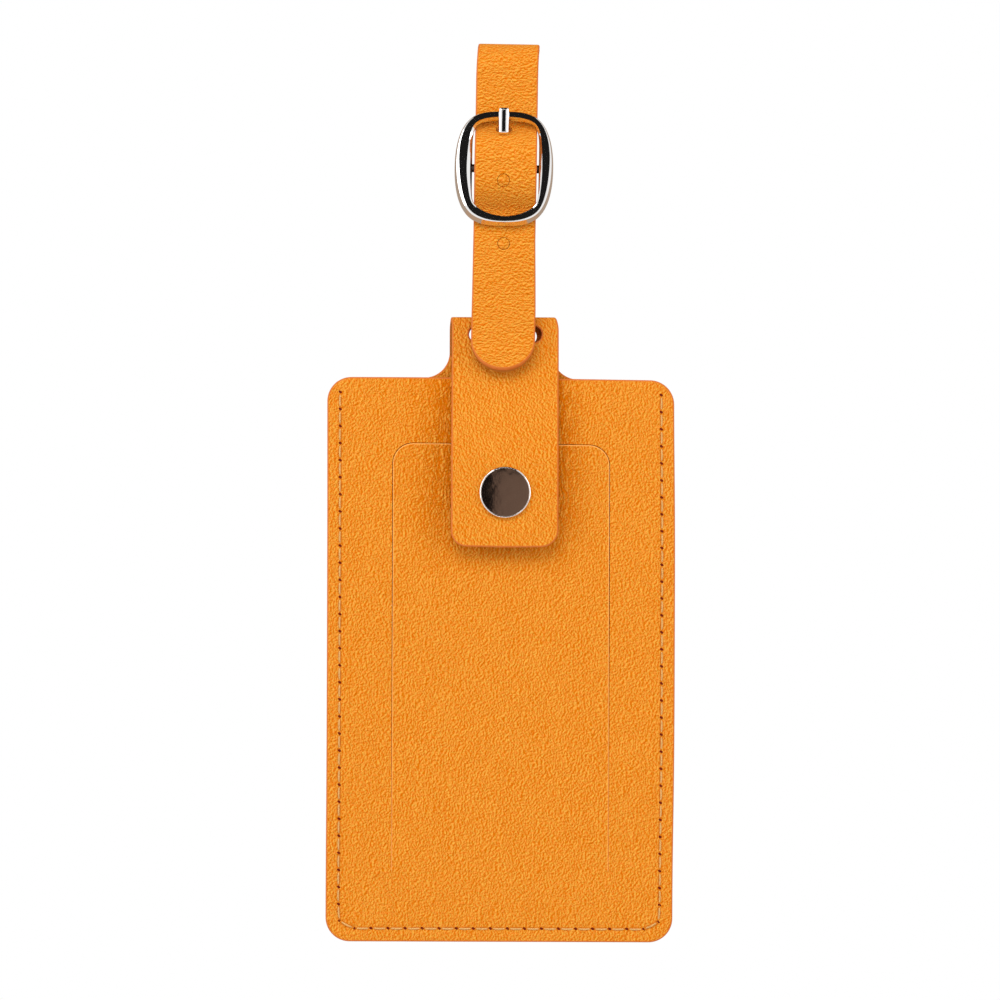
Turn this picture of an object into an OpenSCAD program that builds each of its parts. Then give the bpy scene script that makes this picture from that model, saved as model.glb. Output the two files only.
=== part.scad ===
// Leather luggage tag: a sewn card pocket with a privacy door, a neck that folds over into a
// snap-down flap, and a buckled strap that passes through the slot in the neck.
// It is drawn with the pocket's bottom edge at Z 0, its seam plane at Y 0 and its front towards -Y,
// then moved so that the axis of the strap's top loop passes through the origin.

/* [Pocket] */
// Width of the pocket
body_w = 69.2; // [62:0.1:90]
// Height of the pocket, from its bottom edge to its open mouth
body_h = 112.5; // [108:0.1:116]
// Radius of the pocket's corners
body_r = 4.8; // [3.5:0.1:8]

/* [Sheet thickness] */
// Thickness of the outer leather
leather_t = 0.95; // [0.8:0.05:1.1]
// Thickness of the lining that is glued to the leather
lining_t = 0.35; // [0.2:0.05:0.4]
// Thickness of the clear window film
film_t = 0.2; // [0.1:0.05:0.3]
// Depth of the space for the card
card_gap = 0.45; // [0.4:0.05:0.6]

/* [Door] */
// Width of the door that is cut out of the front panel
door_w = 43.4; // [36:0.1:50]
// Height of the door above its hinge line
door_h = 85; // [82:0.1:90]
// Height of the hinge line above the pocket's bottom edge
door_z = 14.2; // [8:0.1:18]
// Offset of the door to the right of the pocket's middle
door_x = 0.13; // [-1:0.01:1]
// Radius of the door's top corners
door_r = 4.1; // [2:0.1:8]
// Width of the cut around the door
kerf = 0.2; // [0.1:0.05:0.4]

/* [Neck and flap] */
// Width of the neck
neck_w = 20.5; // [18:0.1:24]
// Radius of the fillets between the neck and the pocket
neck_fillet = 4.2; // [2:0.1:6]
// Width of the flap
flap_w = 21.2; // [19:0.1:24]
// Offset of the flap to the right of the pocket's middle
flap_x = 0.85; // [-1:0.05:1]
// Height of the fold's top
fold_top = 124.7; // [123:0.1:126]
// Height of the flap's bottom edge
flap_bottom = 79; // [74:0.5:82]
// Height of the line where the flap bends when it is lifted
flap_hinge_z = 111.4; // [108:0.1:112]
// Angle at which the flap leans forward as it comes down from the fold
flap_slant = 8; // [7:0.5:10]
// Space between the flap and the door, which the snap fills
flap_gap = 2.7; // [2.7:0.1:3.2]

/* [Slot] */
// Length of the strap slot
slot_w = 14.5; // [13.5:0.1:16]
// Height of the strap slot
slot_h = 3.3; // [3.1:0.1:3.4]
// Height of the slot's middle in the flap layer
slot_z = 121.2; // [121:0.1:121.3]

/* [Strap] */
// Width of the strap
strap_w = 12; // [10:0.1:12.5]
// Thickness of the strap
strap_t = 1.3; // [1.1:0.05:1.3]
// Thickness of the strap's inner layer
strap_lining_t = 0.45; // [0.3:0.05:0.5]
// Offset of the strap to the right of the pocket's middle, at the slot
strap_x = 0.2; // [-0.5:0.05:0.8]
// Lean of the strap to the right
strap_lean = 0.8; // [0:0.1:2]
// Height of the strap's top
strap_top = 179.3; // [176:0.1:190]
// Inner radius of the top loop
loop_r = 4.3; // [4:0.1:5]
// Height of the tail's round tip
tail_tip_z = 113.7; // [112:0.1:116]
// Angle at which the tail's tip stands off the neck
tip_flare = 14; // [8:1:20]

/* [Buckle] */
// Height of the buckle's centre bar
buckle_z = 153.7; // [150:0.1:155]
// Outer width of the buckle
buckle_w = 19.6; // [18.5:0.1:22]
// Outer height of the buckle
buckle_h = 22.6; // [22.5:0.1:24]
// Inner width of the buckle
buckle_in_w = 13.8; // [13.2:0.1:14.5]
// Inner height of the buckle
buckle_in_h = 18.8; // [18.6:0.1:19.2]
// Thickness of the buckle from front to back
buckle_t = 1.8; // [1.6:0.1:1.8]
// Diameter of the centre bar
bar_d = 1.6; // [1.4:0.1:1.6]
// Squareness of the buckle's outer outline at its sides: 2 is an ellipse
buckle_n = 2.5; // [2.4:0.1:4]
// Squareness of the outer outline at its top and bottom
buckle_end_n = 3; // [2.6:0.1:4]
// Squareness of the buckle's inner outline
buckle_in_n = 6; // [6:0.5:9]
// Width of the prong
prong_w = 2.1; // [1.8:0.1:2.2]
// Offset of the prong and the holes to the left of the strap's middle
prong_x = -0.35; // [-0.5:0.05:0.5]

/* [Snap] */
// Diameter of the snap's cap
cap_d = 10.3; // [9:0.1:12]
// Height of the snap's middle
snap_z = 89.7; // [88:0.1:91]
// Offset of the snap to the right of the pocket's middle
snap_x = 0.95; // [0:0.05:1.5]

/* [Stitching] */
// Distance from the pocket's edge to the seam
seam_inset = 2.6; // [2.2:0.1:3]
// Distance from the pocket's mouth to the first stitch
seam_start = 3; // [2:0.1:6]
// Number of stitches around the seam
stitch_count = 81; // [60:1:100]
// Diameter of the thread
thread_d = 0.5; // [0.3:0.05:0.6]

/* [Card] */
// Width of the address card
card_w = 60; // [50:0.5:62]
// Height of the address card
card_h = 105; // [95:0.5:106]
// Thickness of the address card
card_t = 0.35; // [0.25:0.05:0.35]

/* [Hidden] */
$fn = 64;
thread_sides = 16;
turn_step = 7.5;

// A small overlap, the overshoot of a cut, and lengths beyond the tag's depth and its height
eps = 0.01;
over = 1;
reach = 20;
far = 300;

// Faces of the sheets, from the front of the pocket to its back
film_y = -film_t;
front_lining_y = film_y - lining_t;
front_y = front_lining_y - leather_t;
back_lining_y = card_gap;
back_leather_y = back_lining_y + lining_t;
back_y = back_leather_y + leather_t;
sheet_t = leather_t + lining_t;

// The card's recess and the film's recess
rim_w = 3.3;
recess_r = 2;
film_inset = 1;
bend_gap = 0.05;

// The neck's fold, and the flap's inner face from the fold down to the flap's bottom
fold_centre = [0, fold_top - back_y];
fold_inner_r = back_lining_y;
slant_normal = [-cos(flap_slant), sin(flap_slant)];
slant_down = [-sin(flap_slant), -cos(flap_slant)];
flap_start = fold_centre + fold_inner_r * slant_normal;
flap_y = front_y - flap_gap;
knee = flap_start + slant_down * (flap_start[0] - flap_y) / sin(flap_slant);
knee_r = 14;
hinge_drop = (flap_start + sheet_t * slant_normal)[1] - flap_hinge_z;
flap_hinge = flap_start + slant_down * hinge_drop / cos(flap_slant);
flap_corner_r = 2.6;

// The slot in the rear layer lies a little lower and further left than in the flap layer
rear_slot_dx = -0.76;
rear_slot_dz = -0.5;
slot_depth = 4;

// Middle of the strap's thickness along its way, as Y and height
layer_gap = 0.2;
bar_r = bar_d / 2;
run_gap = 0.05;
frame_play = 0.32;
strand_y = -3.05;
strand_pitch = strap_t + layer_gap;
tail_y = strand_y - strand_pitch;
frame_back_y = tail_y - strap_t / 2 - frame_play;
frame_y = frame_back_y - buckle_t / 2;
bar_set = 0.3;
bar_y = frame_y + bar_set;
wrap_r = bar_r + run_gap + strap_t / 2;
crest_y = bar_y - wrap_r - strand_pitch;
crest_h = 3.4;
bend_h = 7.9;
top_crest_h = 4.6;
top_bend_h = 7.8;
hump_angle = atan((tail_y - crest_y) / (bend_h - crest_h));
top_hump_angle = atan((tail_y - crest_y) / (top_bend_h - top_crest_h));
offset_rise = tan(hump_angle / 2);
crest_r = 6;
bend_r = 3;
return_pitch = strap_t + 0.1;
return_end_h = 14;
slot_bend_r = 1;
pivot_z = 121.3;
rear_y = 2.9;
rear_bends = [[151, 60], [128, 40]];
loop_y = tail_y + strap_t / 2 + loop_r;
loop_z = strap_top - strap_t - loop_r;
loop_mid_r = loop_r + strap_t / 2;
flare_z = tail_tip_z + 7;
flare_run = 8;
flare_r = 12;

// Adjusting holes: the prong's, and two whose cut plugs are still in place
prong_hole_d = 3.7;
prong_hole_h = 6.6;
prong_hole_reach = 1.6;
plug_d = 2.4;
plug_kerf = 0.16;
plug_depth = 0.6;
plug_heights = [151.2, 139];

// The prong, which stands up behind the tail, then bends out of its hole and over the frame
prong_t = 1;
prong_ring_t = 0.65;
prong_slot_w = prong_w + 0.5;
prong_slot_play = 0.08;
prong_set = 0.1;
prong_bend_h = 6.9;
prong_bend_r = 3;
prong_rest_h = 8.95;
prong_rest_r = 1.5;
prong_tip_h = 11.4;

// Snap hardware, from the cap back to the post's head
cap_t = 0.9;
cap_bevel = 0.5;
post_d = 2.4;
post_hole_d = 2.6;
post_head_d = 7;
post_play = 0.1;
socket_d = 8.4;
socket_t = 2.2;
socket_wall_t = 0.4;
socket_bore_d = 4.1;
spring_r = 2.2;
spring_wire_r = 0.22;
spring_y = -2.95;
spring_groove_d = 5.1;
spring_groove_h = 0.6;
spring_split = 0.8;
stud_disc_d = 7.6;
stud_disc_t = 0.35;
stud_d = 3.5;
stud_h = 1.95;
stud_wall_t = 0.4;

// The seam's course, and the short row at the strap's return end
seam_x = body_w / 2 - seam_inset;
seam_z = seam_inset + 0.1;
seam_r = 2.5;
seam_side = body_h - seam_start - seam_z - seam_r;
seam_arc = PI / 2 * seam_r;
seam_bottom = 2 * (seam_x - seam_r);
seam_length = 2 * seam_side + 2 * seam_arc + seam_bottom;
stitch_pitch = seam_length / stitch_count;
stitch_gap = 0.5;
front_knot_y = 0.1;
back_knot_y = 0.2;
end_stitch_count = 4;
end_stitch_pitch = 2.4;
end_stitch_h = 11.6;
end_thread_d = 0.3;

// Where the loop's axis ends up when the strap leans about the slot
loop_rise = loop_z - pivot_z;
loop_centre = [strap_x + loop_rise * sin(strap_lean), loop_y, pivot_z + loop_rise * cos(strap_lean)];

leather_colour = [0.94, 0.57, 0.15];
lining_colour = [0.80, 0.47, 0.12];
steel_colour = [0.75, 0.75, 0.77];
cap_colour = [0.35, 0.26, 0.22];
thread_colour = [0.95, 0.68, 0.25];
film_colour = [0.85, 0.92, 0.95, 0.4];
card_colour = [0.97, 0.97, 0.95];

// ---- Ways and ribbons -------------------------------------------------------------------------

// Unit vector from a to b, and the unit vector to the left of a direction
function heading(a, b) = (b - a) / norm(b - a);
function left_of(d) = [-d[1], d[0]];
function turned(v, a) = [v[0] * cos(a) - v[1] * sin(a), v[0] * sin(a) + v[1] * cos(a)];

// Samples of a corner rounded with radius r: each is a point and the normal to its left
function rounded_corner(a, b, c, r) =
    let (d1 = heading(a, b), d2 = heading(b, c),
         turn = atan2(d1[0] * d2[1] - d1[1] * d2[0], d1 * d2),
         start = b - d1 * r * tan(abs(turn) / 2),
         centre = start + sign(turn) * r * left_of(d1),
         steps = max(2, ceil(abs(turn) / turn_step)))
    [for (i = [0:steps])
        let (n = turned(left_of(d1), turn * i / steps)) [centre - sign(turn) * r * n, n]];

function spot(p) = [p[0], p[1]];

// Samples of a way, given as a list of [y, z, corner radius]
function way_samples(way) =
    let (last = len(way) - 1)
    concat([[spot(way[0]), left_of(heading(spot(way[0]), spot(way[1])))]],
           [for (i = [1:1:last - 1])
               each rounded_corner(spot(way[i - 1]), spot(way[i]), spot(way[i + 1]), way[i][2])],
           [[spot(way[last]), left_of(heading(spot(way[last - 1]), spot(way[last])))]]);

function reversed(list) = [for (i = [len(list) - 1:-1:0]) list[i]];

// Outline of the band between two distances to the left of a way
module ribbon(way, from, to) {
    samples = way_samples(way);
    polygon(concat([for (s = samples) s[0] + to * s[1]],
                   reversed([for (s = samples) s[0] + from * s[1]])));
}

// A Y-Z outline made w wide across the tag, and an X-Z outline made solid from y0 to y1
module across(w, x = 0) {
    translate([x - w / 2, 0, 0]) rotate([90, 0, 90]) linear_extrude(w) children();
}
module slab(y0, y1) {
    translate([0, y1, 0]) rotate([90, 0, 0]) linear_extrude(y1 - y0) children();
}
// A round bar along Y, from y0 to y1
module peg(d, y0, y1) {
    translate([0, y1, 0]) rotate([90, 0, 0]) cylinder(d = d, h = y1 - y0);
}

// ---- Placing ----------------------------------------------------------------------------------

module seat() {
    translate(-loop_centre) children();
}
module strap_seat() {
    seat() translate([strap_x, 0, pivot_z]) rotate([0, strap_lean, 0]) translate([0, 0, -pivot_z])
        children();
}
module at_snap() {
    translate([snap_x, 0, snap_z]) children();
}
module at_bar() {
    translate([0, bar_y, buckle_z]) children();
}

// ---- Outlines ---------------------------------------------------------------------------------

module rounded_rect(x0, x1, z0, z1, r) {
    translate([x0 + r, z0]) square([x1 - x0 - 2 * r, z1 - z0]);
    translate([x0, z0 + r]) square([x1 - x0, z1 - z0 - 2 * r]);
    for (x = [x0 + r, x1 - r], z = [z0 + r, z1 - r]) translate([x, z]) circle(r);
}
module body_outline() {
    rounded_rect(-body_w / 2, body_w / 2, 0, body_h, body_r);
}
// The pocket with the neck above it, up to where the fold starts
module back_outline() {
    body_outline();
    translate([-neck_w / 2, body_h - over]) square([neck_w, fold_centre[1] - body_h + over]);
    for (side = [-1, 1]) difference() {
        translate([side * (neck_w + neck_fillet) / 2, body_h + neck_fillet / 2 - eps])
            square(neck_fillet, center = true);
        translate([side * (neck_w / 2 + neck_fillet), body_h + neck_fillet]) circle(neck_fillet);
    }
}
// The room for the card inside the seam, open at the mouth
module recess_outline() {
    rounded_rect(-body_w / 2 + rim_w, body_w / 2 - rim_w, rim_w, far, recess_r);
}
module rim_outline() {
    difference() {
        body_outline();
        recess_outline();
    }
}
module film_outline() {
    intersection() {
        body_outline();
        rounded_rect(-body_w / 2 + film_inset, body_w / 2 - film_inset, film_inset, far,
                     body_r - film_inset);
    }
}
// The door with its top corners round, smaller by gap on its three cut sides
module door_outline(gap) {
    x0 = door_x - door_w / 2 + gap;
    x1 = door_x + door_w / 2 - gap;
    top = door_z + door_h - gap;
    r = door_r - gap;
    translate([x0, door_z]) square([x1 - x0, door_h - gap - r]);
    translate([x0 + r, door_z]) square([x1 - x0 - 2 * r, top - door_z]);
    for (x = [x0 + r, x1 - r]) translate([x, top - r]) circle(r);
}
module door_leaf_outline() {
    difference() {
        door_outline(kerf);
        translate([-body_w / 2, 0]) square([body_w, door_z + bend_gap]);
    }
}
module flap_outline() {
    rounded_rect(flap_x - flap_w / 2, flap_x + flap_w / 2, flap_bottom, body_h + far, flap_corner_r);
}
module tail_outline() {
    translate([0, tail_tip_z + strap_w / 2]) {
        circle(d = strap_w);
        translate([-strap_w / 2, 0]) square([strap_w, far]);
    }
}
module stadium(w, h) {
    square([w - h, h], center = true);
    for (side = [-1, 1]) translate([side * (w - h) / 2, 0]) circle(d = h);
}

// ---- Neck and fold ----------------------------------------------------------------------------

// The slot through both layers of the neck
module slot_cut() {
    translate([flap_x, 0, slot_z]) slab(-slot_depth, 0) stadium(slot_w, slot_h);
    translate([flap_x + rear_slot_dx, 0, slot_z + rear_slot_dz]) slab(0, slot_depth)
        stadium(slot_w, slot_h);
}
// The part of the fold between two radii, from the rear layer round to the slanting flap layer
module fold_ring(r0, r1) {
    across(flap_w, flap_x) translate(fold_centre) difference() {
        circle(r1);
        circle(r0);
        translate([-far / 2, -far]) square([far, far]);
        rotate(180 - flap_slant) square([far, far]);
    }
    across(flap_w, flap_x) ribbon([flap_start, flap_hinge], fold_inner_r - r1, fold_inner_r - r0);
}

module back_panel() {
    color(leather_colour) seat() difference() {
        union() {
            slab(back_leather_y, back_y) back_outline();
            slab(0, back_leather_y) rim_outline();
            fold_ring(back_leather_y, back_y);
        }
        slot_cut();
    }
}
module back_lining() {
    color(lining_colour) seat() difference() {
        union() {
            slab(back_lining_y, back_leather_y) difference() {
                back_outline();
                rim_outline();
            }
            fold_ring(back_lining_y, back_leather_y);
        }
        slot_cut();
    }
}

// ---- Pocket front -----------------------------------------------------------------------------

module front_panel() {
    color(leather_colour) seat() {
        slab(front_y, front_lining_y) difference() {
            body_outline();
            door_outline(0);
        }
        slab(front_lining_y, 0) difference() {
            body_outline();
            film_outline();
        }
    }
}
module front_lining() {
    color(lining_colour) seat() slab(front_lining_y, film_y) difference() {
        film_outline();
        door_outline(0);
    }
}
module window_film() {
    color(film_colour) seat() slab(film_y, 0) film_outline();
}
module address_card() {
    color(card_colour) seat() slab((card_gap - card_t) / 2, (card_gap + card_t) / 2)
        rounded_rect(-card_w / 2, card_w / 2, rim_w + eps, rim_w + card_h, recess_r);
}

// ---- Seam -------------------------------------------------------------------------------------

// [x, z, heading] at distance s along the seam, down the left side, along and up the right side
function seam_at(s) =
    s <= seam_side ? [-seam_x, body_h - seam_start - s, -90]
    : s <= seam_side + seam_arc ?
        let (a = 180 + (s - seam_side) / seam_arc * 90)
        [-seam_x + seam_r + seam_r * cos(a), seam_z + seam_r + seam_r * sin(a), a + 90]
    : s <= seam_length / 2 ? [-seam_x + seam_r + s - seam_side - seam_arc, seam_z, 0]
    : let (m = seam_at(seam_length - s)) [-m[0], m[1], -m[2]];

// One side of the lock stitch: a thread along the surface at face_y and a leg that dives to mid_y
module stitches(face_y, mid_y) {
    for (i = [0:stitch_count - 1]) {
        start = seam_at(i * stitch_pitch + stitch_gap / 2);
        end = seam_at((i + 1) * stitch_pitch - stitch_gap / 2);
        run = norm([end[0] - start[0], end[1] - start[1]]);
        translate([start[0], face_y, start[1]])
            rotate([0, 90 - atan2(end[1] - start[1], end[0] - start[0]), 0]) {
                cylinder(d = thread_d, h = run, $fn = thread_sides);
                translate([0, 0, thread_d / 2])
                    peg(thread_d, min(mid_y - face_y, 0), max(mid_y - face_y, 0), $fn = thread_sides);
            }
    }
}
module front_thread() {
    color(thread_colour) seat() stitches(front_y, front_knot_y);
}
module back_thread() {
    color(thread_colour) seat() stitches(back_y, back_knot_y);
}

// ---- Door -------------------------------------------------------------------------------------

module privacy_door() {
    color(leather_colour) seat() difference() {
        slab(front_y, front_lining_y) door_leaf_outline();
        at_snap() peg(post_hole_d, front_y - over, 0);
    }
}
module door_lining() {
    color(lining_colour) seat() difference() {
        slab(front_lining_y, film_y) door_leaf_outline();
        at_snap() peg(post_head_d + post_play, front_y - over, 0);
    }
}

// ---- Flap -------------------------------------------------------------------------------------

module flap_sheet(from, to) {
    flap_way = [concat(flap_hinge + bend_gap * slant_down, [0]), concat(knee, [knee_r]),
                [flap_y, flap_bottom - over, 0]];
    difference() {
        intersection() {
            across(flap_w, flap_x) ribbon(flap_way, from, to);
            slab(-reach, 0) flap_outline();
        }
        at_snap() peg(post_hole_d, -reach, 0);
    }
}
module closure_flap() {
    color(leather_colour) seat() flap_sheet(-sheet_t, -lining_t);
}
module flap_lining() {
    color(lining_colour) seat() flap_sheet(-lining_t, 0);
}

// ---- Snap -------------------------------------------------------------------------------------

// Cap with its post through the flap
module snap_cap() {
    face = flap_y - sheet_t;
    color(cap_colour) seat() at_snap() {
        peg(cap_d, face - cap_t + cap_bevel, face);
        translate([0, face - cap_t + cap_bevel, 0]) rotate([90, 0, 0])
            cylinder(d1 = cap_d, d2 = cap_d - 2 * cap_bevel, h = cap_bevel);
        peg(post_d, face - eps, flap_y + socket_wall_t);
    }
}
// Socket on the flap's back, with the groove that holds the spring
module snap_socket() {
    color(steel_colour) seat() at_snap() difference() {
        peg(socket_d, flap_y, flap_y + socket_t);
        peg(socket_bore_d, flap_y + socket_wall_t, 0);
        peg(post_d + 2 * run_gap, -reach, 0);
        peg(spring_groove_d, spring_y - spring_groove_h / 2, spring_y + spring_groove_h / 2);
    }
}
// Split wire ring in the socket
module snap_spring() {
    color(steel_colour) seat() at_snap() difference() {
        translate([0, spring_y, 0]) rotate([90, 0, 0]) rotate_extrude()
            translate([spring_r, 0]) circle(spring_wire_r, $fn = 24);
        translate([0, spring_y - over, -spring_split / 2]) cube([reach, 2 * over, spring_split]);
    }
}
// Stud on the door's front
module snap_stud() {
    tip = front_y - stud_h;
    color(steel_colour) seat() at_snap() difference() {
        union() {
            peg(stud_disc_d, front_y - stud_disc_t, front_y);
            peg(stud_d, tip, front_y);
        }
        peg(post_d + 2 * run_gap, tip + stud_wall_t, 0);
    }
}
// Rivet that holds the stud, with its head flush in the door's lining
module snap_post() {
    color(steel_colour) seat() at_snap() {
        peg(post_head_d, front_lining_y, film_y);
        peg(post_d, front_y - stud_h + stud_wall_t + post_play, film_y);
    }
}

// ---- Strap ------------------------------------------------------------------------------------

// Ways of the middle of the strap's thickness. The first runs from the tail's tip up over the
// buckle's bar to the loop. The second runs from the loop down the back, through the slot, up
// the front, round the buckle's bar and down to the sewn end.
tail_way = [
    [tail_y - flare_run * tan(tip_flare), flare_z - flare_run, 0],
    [tail_y, flare_z, flare_r],
    [tail_y, buckle_z - bend_h, bend_r],
    [crest_y, buckle_z - crest_h, crest_r],
    [crest_y, buckle_z + top_crest_h, crest_r],
    [tail_y, buckle_z + top_bend_h, bend_r],
    [tail_y, loop_z, 0]];
strand_bend = [strand_y, buckle_z - bend_h + strand_pitch * offset_rise];
strand_crest = [crest_y + strand_pitch, buckle_z - crest_h + strand_pitch * offset_rise];
return_bend = strand_bend + return_pitch * [1, offset_rise];
return_crest_y = bar_y + wrap_r;
return_crest = return_bend + (return_bend[0] - return_crest_y) * [-1, 1 / tan(hump_angle)];
rear_way = [
    [loop_y + loop_mid_r, loop_z, 0],
    concat([loop_y + loop_mid_r], rear_bends[0]),
    concat([rear_y], rear_bends[1]),
    [rear_y, pivot_z, slot_bend_r],
    [strand_y, pivot_z, slot_bend_r],
    concat(strand_bend, [bend_r + strand_pitch]),
    concat(strand_crest, [crest_r - strand_pitch]),
    [bar_y - wrap_r, buckle_z + wrap_r, wrap_r - eps],
    [bar_y + wrap_r, buckle_z + wrap_r, wrap_r - eps],
    concat(return_crest, [bend_r]),
    concat(return_bend, [bend_r]),
    [return_bend[0], buckle_z - return_end_h, 0]];

// The strap's layer between two distances to the outer side of its middle
module strap_layer(from, to) {
    difference() {
        union() {
            intersection() {
                across(strap_w) ribbon(tail_way, from, to);
                slab(-reach, reach) tail_outline();
            }
            across(strap_w) ribbon(rear_way, from, to);
            loop_layer(loop_mid_r + from, loop_mid_r + to);
        }
        strap_cuts();
    }
}
// The half ring at the top, whose inner face is the seat for a bag's handle
module loop_layer(r0, r1) {
    translate([0, loop_y, loop_z]) difference() {
        rotate([0, 90, 0]) cylinder(r = r1, h = strap_w, center = true);
        rotate([0, 90, 0]) cylinder(r = r0, h = strap_w + over, center = true);
        translate([-strap_w, -far / 2, -far]) cube([2 * strap_w, far, far]);
    }
}
module strap_cuts() {
    hole_y = tail_y - (top_bend_h - prong_hole_h) * tan(top_hump_angle);
    translate([prong_x, hole_y, buckle_z + prong_hole_h]) rotate([-top_hump_angle, 0, 0])
        peg(prong_hole_d, -prong_hole_reach, prong_hole_reach);
    at_bar() translate([prong_x - prong_slot_w / 2, 0, 0]) rotate([0, 90, 0])
        cylinder(r = wrap_r + strap_t / 2 + prong_slot_play, h = prong_slot_w);
    for (z = plug_heights) translate([prong_x, 0, z]) difference() {
        front = tail_front(z);
        peg(plug_d, front - over, front + plug_depth);
        peg(plug_d - 2 * plug_kerf, front - 2 * over, front + plug_depth + over);
    }
}
// Front face of the tail at a height: on the straight, or near the crest over the bar
function tail_front(z) =
    (abs(z - buckle_z) < crest_h ? crest_y : tail_y) - strap_t / 2;

module strap() {
    color(leather_colour) strap_seat() strap_layer(-strap_t / 2 + strap_lining_t, strap_t / 2);
}
module strap_lining() {
    color(lining_colour) strap_seat() strap_layer(-strap_t / 2, -strap_t / 2 + strap_lining_t);
}
// Short row that sews the strap's end to the strand in front of it
module strap_end_stitches() {
    front = strand_y - strap_t / 2;
    back = return_bend[0] + strap_t / 2;
    z = buckle_z - end_stitch_h;
    color(thread_colour) strap_seat() for (i = [0:end_stitch_count - 1]) {
        x = (i - (end_stitch_count - 1) / 2) * end_stitch_pitch;
        for (y = [front, back]) translate([x, y, z]) rotate([0, 90, 0])
            cylinder(d = end_thread_d, h = end_stitch_pitch - stitch_gap, center = true,
                     $fn = thread_sides);
        translate([x, 0, z]) peg(end_thread_d, front, back, $fn = thread_sides);
    }
}

// ---- Buckle -----------------------------------------------------------------------------------

// Rounded barrel outline of the buckle, whose squareness goes from n at its sides to end_n at its
// top and bottom
module barrel(w, h, n, end_n) {
    polygon([for (a = [0:3:357])
        let (power = 2 / (n + (end_n - n) * pow(sin(a), 2)))
        [w / 2 * sign(cos(a)) * pow(abs(cos(a)), power),
         h / 2 * sign(sin(a)) * pow(abs(sin(a)), power)]]);
}
module buckle_frame() {
    color(steel_colour) strap_seat() {
        translate([0, 0, buckle_z]) slab(frame_y - buckle_t / 2, frame_y + buckle_t / 2)
            difference() {
                barrel(buckle_w, buckle_h, buckle_n, buckle_end_n);
                barrel(buckle_in_w, buckle_in_h, buckle_in_n, buckle_in_n);
            }
        at_bar() rotate([0, 90, 0])
            cylinder(d = bar_d, h = (buckle_w + buckle_in_w) / 2, center = true);
    }
}
// Prong: a ring on the bar and an arm that comes out of the tail's hole and rests on the frame
module buckle_prong() {
    rest_y = frame_y - buckle_t / 2 - run_gap - prong_t / 2;
    arm_way = [[bar_y, buckle_z, 0],
               [bar_y - prong_set, buckle_z + prong_bend_h, prong_bend_r],
               [rest_y, buckle_z + prong_rest_h, prong_rest_r],
               [rest_y, buckle_z + prong_tip_h, 0]];
    ring_r = bar_r + run_gap;
    color(steel_colour) strap_seat() translate([prong_x, 0, 0]) difference() {
        union() {
            across(prong_w) ribbon(arm_way, -prong_t / 2, prong_t / 2);
            translate([0, rest_y, buckle_z + prong_tip_h]) rotate([0, 90, 0])
                cylinder(d = prong_t, h = prong_w, center = true);
            at_bar() rotate([0, 90, 0])
                cylinder(r = ring_r + prong_ring_t, h = prong_w, center = true);
        }
        at_bar() rotate([0, 90, 0]) cylinder(r = ring_r, h = prong_w + over, center = true);
    }
}

strap();
strap_lining();
strap_end_stitches();
buckle_frame();
buckle_prong();
back_panel();
back_lining();
front_panel();
front_lining();
window_film();
front_thread();
back_thread();
privacy_door();
door_lining();
snap_stud();
snap_post();
closure_flap();
flap_lining();
snap_cap();
snap_socket();
snap_spring();
address_card();
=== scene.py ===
"""Looks of a leather luggage tag: a sewn card pocket with a door, a fold-over flap with a snap,
and a buckled strap. Lengths are in millimetres, as the part is drawn, until a piece is placed."""

import math
from bisect import bisect

import bmesh
import bpy
from mathutils import Matrix, Vector, noise
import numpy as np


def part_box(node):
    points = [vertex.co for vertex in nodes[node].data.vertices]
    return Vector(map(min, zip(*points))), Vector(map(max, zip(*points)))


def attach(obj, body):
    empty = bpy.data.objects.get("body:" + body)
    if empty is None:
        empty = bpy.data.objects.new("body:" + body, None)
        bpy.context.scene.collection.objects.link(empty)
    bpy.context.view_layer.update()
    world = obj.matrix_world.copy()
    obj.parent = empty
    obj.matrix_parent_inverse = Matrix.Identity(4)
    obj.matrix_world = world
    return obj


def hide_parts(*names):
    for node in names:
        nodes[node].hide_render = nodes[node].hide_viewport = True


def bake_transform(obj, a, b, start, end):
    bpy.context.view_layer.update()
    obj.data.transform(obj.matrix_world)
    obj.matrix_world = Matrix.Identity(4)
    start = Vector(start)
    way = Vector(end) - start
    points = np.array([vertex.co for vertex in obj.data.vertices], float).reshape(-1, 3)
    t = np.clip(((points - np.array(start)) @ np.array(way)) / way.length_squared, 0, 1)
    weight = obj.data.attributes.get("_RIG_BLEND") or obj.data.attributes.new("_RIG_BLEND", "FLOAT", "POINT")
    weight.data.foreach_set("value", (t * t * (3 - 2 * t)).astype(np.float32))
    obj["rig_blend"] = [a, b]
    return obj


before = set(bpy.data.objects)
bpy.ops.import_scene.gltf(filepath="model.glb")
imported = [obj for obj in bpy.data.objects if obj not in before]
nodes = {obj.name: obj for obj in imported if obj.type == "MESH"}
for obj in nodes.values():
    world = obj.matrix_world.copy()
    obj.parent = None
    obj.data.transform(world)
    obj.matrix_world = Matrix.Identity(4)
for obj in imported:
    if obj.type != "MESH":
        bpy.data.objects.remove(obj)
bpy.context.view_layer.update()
scene = bpy.context.scene

# ---- Hide ---------------------------------------------------------------------------------------
# The tag is cut from one grained, dyed hide 0.95 mm thick. Its cut edges are rounded and coated
# with a smooth edge paint a little pinker than the hide.
HIDE_T = 0.95
HIDE_HIGH, HIDE_HIGH_WARM = (0.85, 0.44, 0.062, 1), (0.92, 0.345, 0.050, 1)
HIDE_LOW, HIDE_LOW_WARM = (0.68, 0.180, 0.000, 1), (0.73, 0.145, 0.000, 1)
EDGE_PAINT = (0.76, 0.225, 0.055, 1)
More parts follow.
